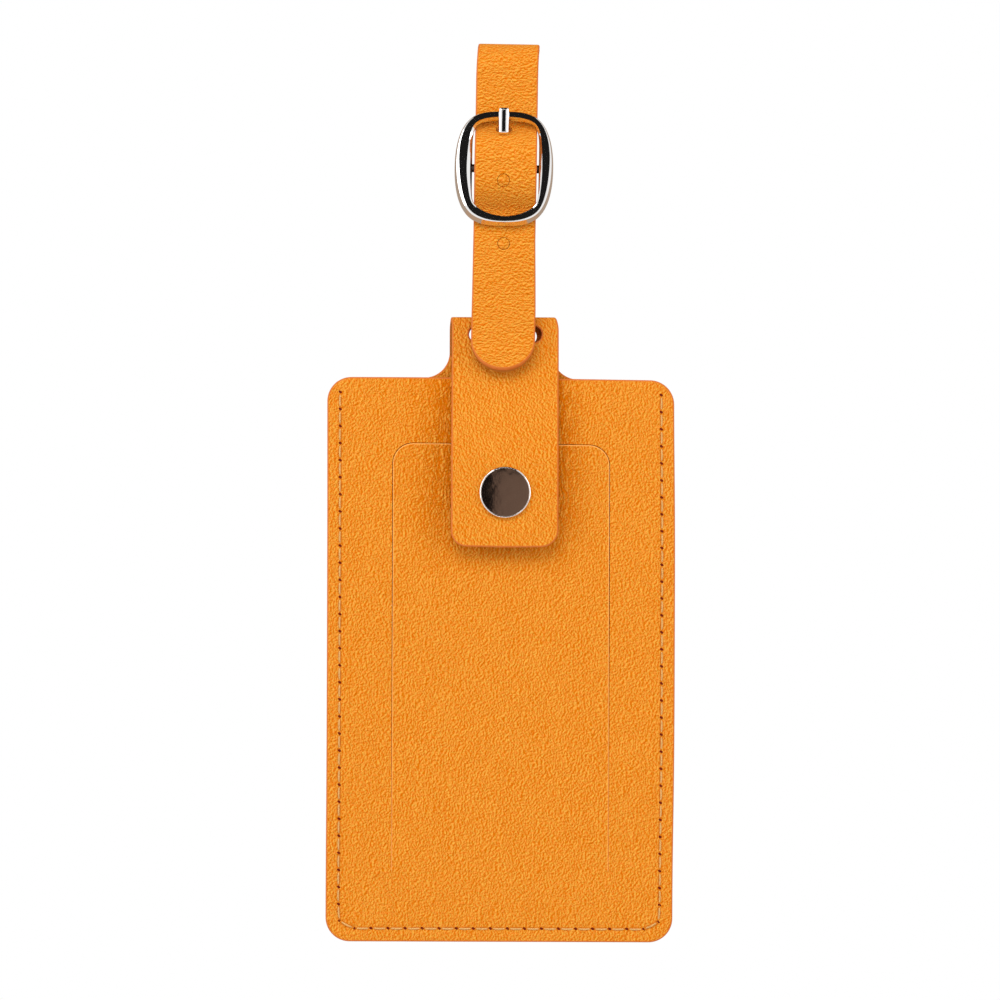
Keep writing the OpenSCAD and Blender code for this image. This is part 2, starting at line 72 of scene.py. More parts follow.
# The darker edge colour stands for thin paint, and also for painted shade on edges that face right.
EDGE_PAINT_THIN_AND_SHADED = (0.55, 0.120, 0.006, 1)
# The cut's colour is brighter than the hide: the paler core with a painted highlight.
HIDE_CORE_HIGHLIGHT = (0.98, 0.42, 0.10, 1)


def feed(tree, made, sockets):
    """Gives a node's sockets their links or plain values."""
    for key, value in sockets.items():
        if isinstance(value, bpy.types.NodeSocket):
            tree.links.new(value, made.inputs[key])
        else:
            made.inputs[key].default_value = value


def wire(tree, kind, sockets=None, **settings):
    """A shader node with its settings, its plain values and its links."""
    made = tree.nodes.new(kind)
    for key, value in settings.items():
        setattr(made, key, value)
    feed(tree, made, sockets or {})
    return made


def mixed(tree, share, a, b):
    """Colour between a and b."""
    sockets = {"Factor": share, 6: a, 7: b}
    return wire(tree, "ShaderNodeMix", sockets, data_type="RGBA").outputs[2]


def maths(tree, operation, a, b=None, c=None, clamp=False):
    """Result of a sum on masks and plain values."""
    sockets = {k: value for k, value in enumerate((a, b, c)) if value is not None}
    return wire(tree, "ShaderNodeMath", sockets, operation=operation, use_clamp=clamp).outputs[0]


def vectors(tree, operation, a, b):
    """Result of a sum on two places."""
    return wire(tree, "ShaderNodeVectorMath", {0: a, 1: b}, operation=operation).outputs[0]


def cloudy(tree, place, scale, detail, **more):
    """Noise at a place, with so many clouds to a unit of the place."""
    sockets = {"Vector": place, "Scale": scale, "Detail": detail, **more}
    return wire(tree, "ShaderNodeTexNoise", sockets).outputs["Fac"]


def look_of(name):
    """A new material, its tree and its shader."""
    made = bpy.data.materials.new(name)
    made.use_nodes = True
    return made, made.node_tree, made.node_tree.nodes["Principled BSDF"]


def raised(tree, shader, height, distance):
    """Raises a surface by its height mask, to a distance in metres."""
    bump = wire(tree, "ShaderNodeBump", {"Height": height, "Distance": distance})
    feed(tree, shader, {"Normal": bump.outputs["Normal"]})


def group_of(name, inputs, outputs):
    """An empty node group with named sockets."""
    tree = bpy.data.node_groups.new(name, "ShaderNodeTree")
    for title, kind in inputs:
        tree.interface.new_socket(title, in_out="INPUT", socket_type="NodeSocket" + kind)
    for title, kind in outputs:
        tree.interface.new_socket(title, in_out="OUTPUT", socket_type="NodeSocket" + kind)
    return tree, tree.nodes.new("NodeGroupInput").outputs, tree.nodes.new("NodeGroupOutput")


# Pebbles and worn creases of the grain, in millimetres on the flat cut. The tone carries painted light: one
# side of each pebble is lighter and the other darker, as if lit from one direction, and the creases and the
# valleys between pebbles are darker as painted shade. The counts are per millimetre.
STROKES, PEBBLES, PATCHES, DYE_SPOTS, DRIFTS = 2.1, 2.0, 0.22, 2.0, 0.35
CREASE_GRID = (1.5, 1.5, 0.24)
grain, taken, given = group_of(
    "hide_grain",
    [("Cut", "Vector"), ("Stretch", "Vector"), ("Light_side_offset", "Vector"), ("Crease", "Float")],
    [("Height", "Float"), ("Tone", "Float"), ("Warmth", "Float")],
)
drift = wire(grain, "ShaderNodeTexNoise", {"Vector": taken["Cut"], "Scale": DRIFTS, "Detail": 1.0})
pushed = vectors(grain, "ADD", drift.outputs["Color"], taken["Cut"])
spread = vectors(grain, "MULTIPLY", pushed, taken["Stretch"])
light_side_place = vectors(grain, "ADD", spread, taken["Light_side_offset"])
stroke, light_side_stroke = (cloudy(grain, at, STROKES, 1.0, Roughness=0.55) for at in (spread, light_side_place))
painted_light_slope = maths(grain, "SUBTRACT", light_side_stroke, stroke)
cells = wire(grain, "ShaderNodeTexVoronoi", {"Vector": spread, "Scale": PEBBLES})
pebble = cells.outputs["Distance"]
patch = cloudy(grain, taken["Cut"], PATCHES, 3.0)
dye = cloudy(grain, taken["Cut"], DYE_SPOTS, 1.0)
crease = cloudy(grain, vectors(grain, "MULTIPLY", pushed, CREASE_GRID), 1.0, 2.0, Distortion=0.3)
crease_cut = maths(grain, "ABSOLUTE", maths(grain, "SUBTRACT", crease, 0.5))
crease_cut = maths(grain, "SUBTRACT", 1.0, maths(grain, "MULTIPLY", crease_cut, 9.0), clamp=True)
crease_cut = maths(grain, "MULTIPLY", crease_cut, taken["Crease"])
rise = maths(grain, "MULTIPLY_ADD", stroke, 2.4, -0.7)
rise = maths(grain, "MULTIPLY_ADD", pebble, -0.8, rise)
# Painted light: the difference between the two strokes lightens one side of each pebble and darkens the
# other.
tone = maths(grain, "MULTIPLY_ADD", painted_light_slope, 2.9, 0.42)
# Painted shade: the creases and the valleys between pebbles are darker in the tone, while the height gives
# them their relief.
tone = maths(grain, "MULTIPLY_ADD", crease_cut, -0.7, tone)
tone = maths(grain, "MULTIPLY_ADD", pebble, -0.3, tone)
feed(grain, given, {
    "Height": maths(grain, "MULTIPLY_ADD", crease_cut, -0.9, rise),
    "Tone": maths(grain, "MULTIPLY_ADD", patch, 0.3, tone, clamp=True),
    "Warmth": maths(grain, "MULTIPLY_ADD", dye, 2.6, -0.8, clamp=True),
})


def hide(name, stretch=(1.12, 1, 1.0), light_side_offset=(0.22, 0, -0.06), depth=0.00010):
    """Dyed hide with grain on its faces. Where its edge mask is above 0 it has smooth edge paint, and where
    it is -1 the cut shows a brighter colour: the paler core with a painted highlight on it."""
    made, tree, skin = look_of(name)
    cut = wire(tree, "ShaderNodeAttribute", attribute_name="cut").outputs["Vector"]
    edge = wire(tree, "ShaderNodeAttribute", attribute_name="edge").outputs["Fac"]
    worn = wire(tree, "ShaderNodeAttribute", attribute_name="crease").outputs["Fac"]
    sockets = {"Cut": cut, "Stretch": stretch, "Light_side_offset": light_side_offset, "Crease": worn}
    surface = wire(tree, "ShaderNodeGroup", sockets, node_tree=grain).outputs
    painted = maths(tree, "MULTIPLY", edge, 2.5, clamp=True)
    bare_core_highlight = maths(tree, "MULTIPLY", edge, -1.0, clamp=True)
    dyed = mixed(tree, surface["Warmth"],
                 mixed(tree, surface["Tone"], HIDE_LOW, HIDE_HIGH),
                 mixed(tree, surface["Tone"], HIDE_LOW_WARM, HIDE_HIGH_WARM))
    coat = maths(tree, "MULTIPLY_ADD", cloudy(tree, cut, 0.9, 2.0), 0.6, -0.4)
    # Thin paint and the painted shade of edges that face right both darken the edge colour.
    paint_thickness_and_shade = maths(tree, "ADD", edge, coat, clamp=True)
    paint = mixed(tree, paint_thickness_and_shade, EDGE_PAINT_THIN_AND_SHADED, EDGE_PAINT)
    rough = maths(tree, "MULTIPLY_ADD", surface["Height"], -0.08, 0.66)
    grained = maths(tree, "MULTIPLY_ADD", maths(tree, "ADD", painted, bare_core_highlight), -0.85, 1.0)
    feed(tree, skin, {
        "Base Color": mixed(tree, bare_core_highlight, mixed(tree, painted, dyed, paint), HIDE_CORE_HIGHLIGHT),
        "Roughness": maths(tree, "MULTIPLY_ADD", painted, -0.16, rough),
        "Specular IOR Level": 0.03,
    })
    raised(tree, skin, maths(tree, "MULTIPLY", surface["Height"], grained), depth)
    return made


pocket_hide = hide("dyed_hide")

# ---- Pocket back and neck -----------------------------------------------------------------------
# The back sheet runs up past the pocket's mouth as a narrow neck, with a small fillet on each
# side. A border of the same hide behind the seam makes room for the card.
BODY_W, BODY_H, BODY_R = 69.2, 112.5, 4.8
BACK_INNER_Y, CARD_ROOM, BORDER_W = 0.8, 0.45, 3.3
NECK_W, NECK_FILLET, NECK_TOP = 20.5, 5.2, 117.2
FRONT_Y = -1.5
CELL, EDGE_ROUND = 0.6, 0.3
SEAM_X, SEAM_Z, SEAM_R, SEAM_START = 32.0, 2.7, 2.5, 3.0
CHANNEL_DEPTH, CHANNEL_W, PRESS_DEPTH, PRESS_W = 0.13, 0.75, 0.10, 0.9
# Edges that face right get a lower paint share, which darkens them as painted shade.
PAINT_SHARE, EDGE_SHADE_SLANT = 0.72, 0.28
SAG_FROM, SAG_RUN, SAG_SLOPE, SAG_RIGHT, SAG_LEFT = 60, 35, 0.0085, 0.00010, 0.00016
BOW_RIGHT, BOW_LEFT, BOW_MIDDLE, BOW_REACH = 0.31, 0.09, 60, 38

front_low, front_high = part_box("front_panel")
front_face = Vector(((front_low.x + front_high.x) / 2, front_low.y - FRONT_Y / 1000, front_low.z))
drawing = Matrix.Translation(front_face) @ Matrix.Scale(0.001, 4)


def share_of(value):
    """A share, held between 0 and 1."""
    return min(max(value, 0.0), 1.0)


def eased(value):
    """A share that starts and stops gently."""
    held = share_of(value)
    return held * held * (3 - 2 * held)


def stops(keys, step):
    """Positions that pass through each key and lie about a step apart between them."""
    found = [keys[0]]
    for low, high in zip(keys, keys[1:]):
        count = max(1, round((high - low) / step))
        found += [low + (high - low) * k / count for k in range(1, count + 1)]
    return found


def flat_cut(across, along):
    """A flat cut of hide, X across and Z along, that faces -Y. It remembers its flat place."""
    cut = bmesh.new()
    bmesh.ops.create_grid(cut, x_segments=len(across) - 1, y_segments=len(along) - 1, size=1)
    for v in cut.verts:
        column = round((v.co.x + 1) / 2 * (len(across) - 1))
        row = round((v.co.y + 1) / 2 * (len(along) - 1))
        v.co = across[column], 0, along[row]
    return cut


def drop_faces(cut, test):
    """Cuts away the faces whose middle passes the test."""
    gone = [f for f in cut.faces if test(f.calc_center_median())]
    bmesh.ops.delete(cut, geom=gone, context="FACES")


def round_corner(cut, centre, side, radius, reach=0.0):
    """Draws a square corner onto an arc about its centre. Hide outside it follows within reach."""
    for v in cut.verts:
        x = (v.co.x - centre[0]) * side[0]
        z = (v.co.z - centre[1]) * side[1]
        square = max(x, z)
        if min(x, z) <= 1e-6 or square > radius + reach + 1e-4:
            continue
        pull = square / math.hypot(x, z)
        if square > radius and reach:
            pull += (1 - pull) * eased((square - radius) / reach)
        v.co.x = centre[0] + side[0] * x * pull
        v.co.z = centre[1] + side[1] * z * pull


def hide_relief(x, z):
    """How far the front sheet lies out of true, as hide that was sewn and handled does."""
    return 0.07 * noise.noise((x / 19, z / 19, 3.1)) + 0.025 * noise.noise((x / 5, z / 5, 8.4))


def back_relief(x, z):
    """How far the back sheet lies out of true."""
    return -hide_relief(x + 90, z)


def rounded_box_distance(x, z, half, bottom, top, radius):
    """Distance outside a rounded rectangle, negative inside it."""
    dx = abs(x) - half + radius
    middle = (bottom + top) / 2
    dz = abs(z - middle) - (top - bottom) / 2 + radius
    return math.hypot(max(dx, 0), max(dz, 0)) + min(max(dx, dz), 0) - radius


def seam_distance(x, z):
    """Distance from the sewn line, which runs down, along and up three sides."""
    beside = abs(rounded_box_distance(x, z, SEAM_X, SEAM_Z, BODY_H + 40, SEAM_R))
    above = max(0.0, z - (BODY_H - SEAM_START))
    return math.hypot(beside, above)


def sewn_relief(x, z):
    """Depth of the channel that the thread pulls, and of the edge that the machine pressed."""
    near_seam = math.exp(-((seam_distance(x, z) / CHANNEL_W) ** 2))
    inside = -rounded_box_distance(x, z, BODY_W / 2, 0, BODY_H, BODY_R)
    return CHANNEL_DEPTH * near_seam + PRESS_DEPTH * math.exp(-((inside / PRESS_W) ** 2))


def thicken(cut, depth, rounding, keep=None, segments=3, painted=True):
    """Gives a flat cut its thickness, stores its flat place, and rounds and masks its free edges. Edges that
    pass the keep test stay sharp. The mask is lower on edges that face right, so their paint turns darker as
    painted shade, and it is higher on edges that face left, whose paint is lighter."""
    place = cut.verts.layers.float_vector.new("cut")
    mask = cut.faces.layers.float.new("edge")
    cut.verts.layers.float.new("crease")
    for v in cut.verts:
        v[place] = v.co
    extruded = bmesh.ops.extrude_face_region(cut, geom=cut.faces[:])
    rear = [g for g in extruded["geom"] if isinstance(g, bmesh.types.BMVert)]
    bmesh.ops.translate(cut, verts=rear, vec=(0, depth, 0))
    bmesh.ops.recalc_face_normals(cut, faces=cut.faces[:])
    kept = keep or (lambda co: False)
    rims = []
    for e in cut.edges:
        if len(e.link_faces) != 2 or e.calc_face_angle() < 1.0:
            continue
        if kept(e.verts[0].co) and kept(e.verts[1].co):
            e.smooth = False
        elif abs(e.verts[0].co.y - e.verts[1].co.y) < 1e-6:
            rims.append(e)
    bmesh.ops.bevel(cut, geom=rims, offset=rounding, offset_type="OFFSET", segments=segments,
                    profile=0.5, affect="EDGES", material=-1, clamp_overlap=True)
    cut.normal_update()
    for f in cut.faces:
        if abs(f.normal.y) < 0.97 and not all(kept(v.co) for v in f.verts):
            f[mask] = PAINT_SHARE - EDGE_SHADE_SLANT * f.normal.x if painted else -1.0
    return cut


def settled(x, z):
    """Where a spot of the pocket lies after use. Its top has sheared and its sides bow."""
    sag, bow = (SAG_RIGHT, BOW_RIGHT) if x > 0 else (SAG_LEFT, BOW_LEFT)
    worn = eased((z - SAG_FROM) / SAG_RUN)
    worn *= share_of(max((NECK_TOP - z) / (NECK_TOP - BODY_H), (abs(x) - 13) / 4))
    bow *= math.exp(-(((z - BOW_MIDDLE) / BOW_REACH) ** 4)) * share_of((abs(x) - 20) / 14)
    return x + bow, z - (SAG_SLOPE * x + sag * x * x) * worn


def place_piece(cut, name, place, materials, smooth=True):
    """Puts a finished shape where it belongs on the tag, as a new piece."""
    if place is drawing:
        for v in cut.verts:
            v.co.x, v.co.z = settled(v.co.x, v.co.z)
    bmesh.ops.transform(cut, matrix=place, verts=cut.verts[:])
    mesh = bpy.data.meshes.new(name)
    cut.to_mesh(mesh)
    cut.free()
    if smooth:
        mesh.shade_smooth()
    piece = bpy.data.objects.new(name, mesh)
    scene.collection.objects.link(piece)
    for made in materials:
        mesh.materials.append(made)
    return piece


half_w, half_neck = BODY_W / 2, NECK_W / 2


def round_pocket(cut):
    """Rounds the pocket's four corners."""
    for side in (-1, 1):
        for z, up in ((BODY_R, -1), (BODY_H - BODY_R, 1)):
            round_corner(cut, (side * (half_w - BODY_R), z), (side, up), BODY_R)


back_cut = flat_cut(
    stops((-half_w, -half_w + BORDER_W, -half_neck - NECK_FILLET, -half_neck,
           half_neck, half_neck + NECK_FILLET, half_w - BORDER_W, half_w), CELL),
    stops((0, BORDER_W, BODY_H, NECK_TOP), CELL),
)
drop_faces(back_cut, lambda c: c.z > BODY_H and abs(c.x) > half_neck)
round_pocket(back_cut)
for side in (-1, 1):
    round_corner(back_cut, (side * (half_neck + NECK_FILLET), BODY_H + NECK_FILLET),
                 (-side, -1), NECK_FILLET, 4.0)
thicken(back_cut, HIDE_T, EDGE_ROUND, keep=lambda co: co.z > NECK_TOP - 0.01)
for v in back_cut.verts:
    x, z = v.co.x, v.co.z
    border = rounded_box_distance(x, z, half_w - BORDER_W, BORDER_W, BODY_H + 50, 2) > -0.05
    outer = v.co.y > HIDE_T / 2
    shift = back_relief(x, z) * share_of((NECK_TOP - z) / 4)
    if z < BODY_H and outer:
        shift -= sewn_relief(x, z)
    if border and not outer and z < BODY_H + 0.1:
        v.co.y = -BACK_INNER_Y + v.co.y * 0.6
        shift = 0
    v.co.y += BACK_INNER_Y + shift
back_hide = place_piece(back_cut, "pocket_back_hide", drawing, [pocket_hide])
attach(back_hide, "pocket")
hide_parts("back_panel")

# ---- Linings, window film and card --------------------------------------------------------------
# Thin brushed lining is glued inside the hides. Behind the door lies a clear window film, and the
# ruled card slides in behind that from the open mouth.
LINING_COLOUR = (0.56, 0.185, 0.020, 1)
LINING_DARK = (0.40, 0.110, 0.008, 1)
BACK_LINING_T, BORDER_GAP = 0.3, 0.4


def millimetres(tree, middle=(0, 0, 0)):
    """Object coordinates in millimetres from a middle."""
    place = wire(tree, "ShaderNodeTexCoord").outputs["Object"]
    shift = [-1000 * c for c in middle]
    sockets = {"Vector": place, "Location": shift, "Scale": (1000, 1000, 1000)}
    return wire(tree, "ShaderNodeMapping", sockets).outputs[0]


lining, tree, cloth = look_of("brushed_lining")
on_sheet = millimetres(tree)
nap = cloudy(tree, on_sheet, 3.5, 4.0, Roughness=0.7)
brushed = cloudy(tree, on_sheet, 0.25, 3.0)
share = maths(tree, "MULTIPLY_ADD", nap, 0.7, maths(tree, "MULTIPLY", brushed, 0.4), clamp=True)
feed(tree, cloth, {
    "Base Color": mixed(tree, share, LINING_DARK, LINING_COLOUR),
    "Roughness": maths(tree, "MULTIPLY_ADD", nap, 0.1, 0.85),
    "Specular IOR Level": 0.2,
})
raised(tree, cloth, nap, 0.00006)


def refinish(node_name, made):
    """Gives a carried-over node its finish."""
    finishes = nodes[node_name].data.materials
    finishes.clear()
    finishes.append(made)


def settled_sheet(node_name, name, made):
    """A thin sheet with a node's outline, settled with the hide that it is bonded to."""
    sheet_shape = bmesh.new()
    sheet_shape.from_mesh(nodes[node_name].data)
    bmesh.ops.transform(sheet_shape, verts=sheet_shape.verts[:], matrix=drawing.inverted())
    sheet_piece = place_piece(sheet_shape, name, drawing, [made], smooth=False)
    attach(sheet_piece, "pocket")
    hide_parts(node_name)
    return sheet_piece


front_lining = settled_sheet("front_lining", "pocket_front_lining", lining)

back_sheet = flat_cut(stops((-half_w + BORDER_W, half_w - BORDER_W), 2.0),
                      stops((BORDER_W, BODY_H - BORDER_GAP), 2.0))
thicken(back_sheet, BACK_LINING_T, 0.08, segments=2)
for v in back_sheet.verts:
    v.co.y += CARD_ROOM
back_lining = place_piece(back_sheet, "pocket_back_lining", drawing, [lining])
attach(back_lining, "pocket")
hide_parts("back_lining")

film, tree, clear = look_of("window_film")
ripple = cloudy(tree, millimetres(tree), 0.08, 1.0)
feed(tree, clear, {
    "Base Color": (0.97, 0.98, 1.0, 1),
    "Roughness": maths(tree, "MULTIPLY_ADD", ripple, 0.05, 0.03),
    "Transmission Weight": 1.0,
    "IOR": 1.46,
})
raised(tree, clear, ripple, 0.0004)
window = settled_sheet("window_film", "window_film_sheet", film)

CARD_LINE_PITCH, CARD_LINE_HALF, CARD_MARGIN, CARD_ROWS_HALF = 9.0, 0.13, 24.0, 37.0
CARD_DARK, CARD_LIGHT = (0.80, 0.79, 0.75, 1), (0.88, 0.87, 0.84, 1)
RULED_INK = (0.22, 0.23, 0.25, 1)
paper, tree, sheet = look_of("ruled_card")
card_low, card_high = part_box("address_card")
centred = millimetres(tree, (card_low + card_high) / 2)
parts = wire(tree, "ShaderNodeSeparateXYZ", {0: centred}).outputs
on_line = maths(tree, "LESS_THAN", maths(tree, "PINGPONG", parts["Z"], CARD_LINE_PITCH / 2),
                CARD_LINE_HALF)
in_margin = maths(tree, "LESS_THAN", maths(tree, "ABSOLUTE", parts["X"]), CARD_MARGIN)
in_rows = maths(tree, "LESS_THAN", maths(tree, "ABSOLUTE", parts["Z"]), CARD_ROWS_HALF)
inked = maths(tree, "MULTIPLY", maths(tree, "MULTIPLY", on_line, in_margin), in_rows)
pulp = cloudy(tree, centred, 1.5, 4.0)
feed(tree, sheet, {
    "Base Color": mixed(tree, inked, mixed(tree, pulp, CARD_DARK, CARD_LIGHT), RULED_INK),
    "Roughness": maths(tree, "MULTIPLY_ADD", pulp, 0.1, 0.6),
})
raised(tree, sheet, pulp, 0.00002)
refinish("address_card", paper)

# ---- Pocket front -------------------------------------------------------------------------------
# The front hide has the same outline. A knife cut round three sides frees the door, and the fourth
# side, near the bottom, is the door's own bend.
DOOR_L, DOOR_R, DOOR_Z, DOOR_TOP, DOOR_CORNER = -21.57, 21.83, 14.2, 99.45, 4.1
TONGUE_Z, MOUTH_EDGE = 12.7, 1.2
FLAP_L, FLAP_R, FLAP_BOTTOM = -9.75, 11.45, 79.0
RIM_W, RIM_DEPTH = 1.05, 0.55
CREASE_LEFT_W, CREASE_RIGHT_W, CREASE_BELOW, CREASE_RUN = 7.0, 4.0, 6, 14

front_across = stops((-half_w, -half_w + 1, DOOR_L, DOOR_R, half_w - 1, half_w), CELL)
front_along = stops((0, 1, TONGUE_Z, DOOR_Z, DOOR_TOP, BODY_H), CELL)


def crease_share(x, z):
    """Share of upright creases beside the flap, where its weight has worked the hide. The grain darkens
    along them as painted shade.
    """
    beside = FLAP_L - x if x < (FLAP_L + FLAP_R) / 2 else x - FLAP_R
    width = CREASE_LEFT_W if x < 0 else CREASE_RIGHT_W
    low = share_of((z - FLAP_BOTTOM + CREASE_BELOW) / CREASE_RUN)
    return low * math.exp(-((max(0.0, beside) / width) ** 2))


def lay_front(cut):
    """Puts a thickened cut on the pocket's front, with its relief and creases."""
    worn = cut.verts.layers.float["crease"]
    flat = cut.verts.layers.float_vector["cut"]
    for v in cut.verts:
        x, z = v[flat].x, v[flat].z
        v[worn] = crease_share(x, z)
        v.co.y += FRONT_Y + hide_relief(x, z)
        if v.co.y < FRONT_Y + HIDE_T / 2:
            v.co.y += sewn_relief(x, z)


front_cut = flat_cut(front_across, front_along)
drop_faces(front_cut, lambda c: DOOR_L < c.x < DOOR_R and TONGUE_Z < c.z < DOOR_TOP)
round_pocket(front_cut)


def round_door(cut, reach=0.0):
    """Rounds the two upper corners of the knife cut."""
    for edge_x, side in ((DOOR_L, -1), (DOOR_R, 1)):
        round_corner(cut, (edge_x - side * DOOR_CORNER, DOOR_TOP - DOOR_CORNER), (side, 1),
                     DOOR_CORNER, reach)


round_door(front_cut, 4.5)


def at_opening(co):
    """The opening's edges, which a knife cut leaves square."""
    return DOOR_L - 0.3 < co.x < DOOR_R + 0.3 and TONGUE_Z - 0.3 < co.z < DOOR_TOP + 0.3


thicken(front_cut, HIDE_T, EDGE_ROUND, keep=at_opening)
# The sewn rim reaches back to the back sheet's border, as one edge under its paint.
for v in front_cut.verts:
    inside = -rounded_box_distance(v.co.x, v.co.z, half_w, 0, BODY_H, BODY_R)
    if v.co.y > HIDE_T / 2 and inside < RIM_W and v.co.z < BODY_H - MOUTH_EDGE:
        v.co.y += RIM_DEPTH
lay_front(front_cut)
front_hide = place_piece(front_cut, "pocket_front_hide", drawing, [pocket_hide])
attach(front_hide, "pocket")
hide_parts("front_panel")

# ---- Door ---------------------------------------------------------------------------------------
# The door is the front hide inside the knife cut. It stands a hair proud at its top, where the
# card presses it, and bends open along its bottom.
KERF_TOP, PROUD, DOOR_ROUND, DOOR_LINING_T, DOOR_BEND_RUN = 0.12, 0.22, 0.2, 0.33, 3.0
door_across = [x for x in front_across if DOOR_L - 0.01 < x < DOOR_R + 0.01]
door_along = [z for z in front_along if TONGUE_Z - 0.01 < z < DOOR_TOP + 0.01]


def height_share(z):
    """How far up the door a height is."""
    return max(0.0, (z - DOOR_Z) / (DOOR_TOP - DOOR_Z))


def door_leaf(depth, rounding, from_z):
    """The door's outline in hide or lining, narrower by the knife cut, which fades downwards."""
    cut = flat_cut(door_across, [z for z in door_along if z > from_z - 0.01])
    round_door(cut)
    middle = (DOOR_L + DOOR_R) / 2
    for v in cut.verts:
        up = height_share(v.co.z)
        shrink = KERF_TOP * min(1.0, up * 1.6)
        v.co.x = middle + (v.co.x - middle) * (1 - shrink / (DOOR_R - middle))
        v.co.z -= shrink * up ** 20
    return thicken(cut, depth, rounding, keep=lambda co: co.z < DOOR_Z + 0.4, segments=2,
                   painted=False)


door_cut = door_leaf(HIDE_T, DOOR_ROUND, TONGUE_Z)
lay_front(door_cut)
for v in door_cut.verts:
    v.co.y -= PROUD * height_share(v.co.z) ** 2
door_hide = place_piece(door_cut, "door_hide", drawing, [pocket_hide])
door_back = door_leaf(DOOR_LINING_T, 0.06, DOOR_Z)
for v in door_back.verts:
    v.co.y += FRONT_Y + HIDE_T + hide_relief(v.co.x, v.co.z) - PROUD * height_share(v.co.z) ** 2
door_lining = place_piece(door_back, "door_lining_sheet", drawing, [lining])
bend_low = drawing @ Vector((0, FRONT_Y, DOOR_Z))
bend_high = drawing @ Vector((0, FRONT_Y, DOOR_Z + DOOR_BEND_RUN))
for piece, stood_for, finish in ((door_hide, "privacy_door", "orange_leather"),
                                 (door_lining, "door_lining", "orange_lining")):
    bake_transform(piece, "pocket", "door", start=bend_low, end=bend_high)
    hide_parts(stood_for)

# ---- Neck fold and flap -------------------------------------------------------------------------
# The neck folds forward over itself and comes down the front as the closing flap, lined on its
# inner side. A slot through both layers takes the strap. It is one strip, and it bends at the
# hinge below the fold when the snap is undone.
FOLD_Y, FOLD_Z, FOLD_R = 0.0, 122.95, 1.275
FLAP_INNER_Y, FLAP_LINING_T, FLAP_ROUND, KNEE_R = -4.2, 0.33, 0.33, 14.0
FLAP_SLANT = math.radians(8)
FLAP_HINGE_Y, FLAP_HINGE_Z, FLAP_BEND_RUN = -3.39, 111.4, 4.5
FLAP_MIDDLE, FLAP_HALF, FLAP_BULGE, FLAP_CORNERS = 0.88, 10.65, 0.25, ((-1, 2.9), (1, 3.3))
SLOT_HALF_W, SLOT_HALF_H = 7.25, 1.65
REAR_SLOT, FLAP_SLOT = (0.40, 120.9), (0.85, 121.2)


def bent_line(points, facing=1):
    """Samples of a line through (y, z, corner radius) points: distance, place and outward side,
    which lies to the line's left, or to its right where facing is -1."""
    found = []

    def add(place, side):
        if found and (place - found[-1][0]).length < 1e-6:
            found.pop()
        found.append((place, side))

    spots = [Vector(p[:2]) for p in points]
    first = (spots[1] - spots[0]).normalized()
    add(spots[0], Vector((-first.y, first.x)))
    for before, corner, after, (_, _, radius) in zip(spots, spots[1:], spots[2:], points[1:]):
        come, go = (corner - before).normalized(), (after - corner).normalized()
        turn = math.atan2(come.x * go.y - come.y * go.x, come.dot(go))
        left = Vector((-come.y, come.x))
        start = corner - come * radius * math.tan(abs(turn) / 2)
        sign = math.copysign(1, turn)
        centre = start + left * sign * radius
        steps = max(2, math.ceil(abs(turn) / math.radians(6)))
        for k in range(steps + 1):
            a = turn * k / steps
            side = Vector((left.x * math.cos(a) - left.y * math.sin(a),
                           left.x * math.sin(a) + left.y * math.cos(a)))
            add(centre - side * sign * radius, side)
    last = (spots[-1] - spots[-2]).normalized()
    add(spots[-1], Vector((-last.y, last.x)))
    run = 0.0
    measured = []
    for k, (place, side) in enumerate(found):
        run += (place - found[k - 1][0]).length if k else 0.0
        measured.append((run, place, side * facing))
    return measured


def distance_at(line, height, after=0.0):
    """Distance along a bent line where it first passes a height, past a given distance."""
    for (s0, p0, _), (s1, p1, _) in zip(line, line[1:]):
        if s1 > after and (p0.y - height) * (p1.y - height) <= 0 and p0.y != p1.y:
            s = s0 + (height - p0.y) / (p1.y - p0.y) * (s1 - s0)
            if s > after:
                return s
    raise ValueError(f"the line never passes {height}")


def bend(cut, line):
    """Lays a flat cut along a bent line: its Z runs along the line and its Y is depth behind it."""
    marks = [s for s, _, _ in line]
    for v in cut.verts:
        k = min(max(bisect(marks, v.co.z), 1), len(line) - 1)
        (s0, p0, n0), (s1, p1, n1) = line[k - 1], line[k]
        t = (v.co.z - s0) / (s1 - s0)
        side = n0.lerp(n1, share_of(t)).normalized()
        v.co.y, v.co.z = p0 + (p1 - p0) * t - side * v.co.y
    return cut


inner_to_middle = FLAP_LINING_T + HIDE_T / 2
top_z = FOLD_Z + FOLD_R
slant_side = Vector((-math.cos(FLAP_SLANT), math.sin(FLAP_SLANT)))
slant_down = Vector((-math.sin(FLAP_SLANT), -math.cos(FLAP_SLANT)))
corner_run = FOLD_R * (1 + math.tan((math.pi / 2 - FLAP_SLANT) / 2))
flap_outset_y = FLAP_INNER_Y - inner_to_middle
slant_from = Vector((FOLD_Y, FOLD_Z)) + slant_side * FOLD_R
knee_drop = (slant_from.x - flap_outset_y) / math.sin(FLAP_SLANT)
knee = slant_from + slant_down * knee_drop
flap_line = bent_line([
    (FOLD_Y + FOLD_R, NECK_TOP, 0),
    (FOLD_Y + FOLD_R, top_z, FOLD_R),
    (FOLD_Y + FOLD_R - corner_run, top_z, FOLD_R),
    (knee.x, knee.y, KNEE_R + inner_to_middle),
    (flap_outset_y, FLAP_BOTTOM, 0),
], facing=-1)
flap_end = flap_line[-1][0]
fold_start = distance_at(flap_line, FOLD_Z - 1)
fold_end = distance_at(flap_line, FOLD_Z - 1, fold_start + 1)
rear_slot_at = distance_at(flap_line, REAR_SLOT[1])
flap_slot_at = distance_at(flap_line, FLAP_SLOT[1], rear_slot_at + 4)
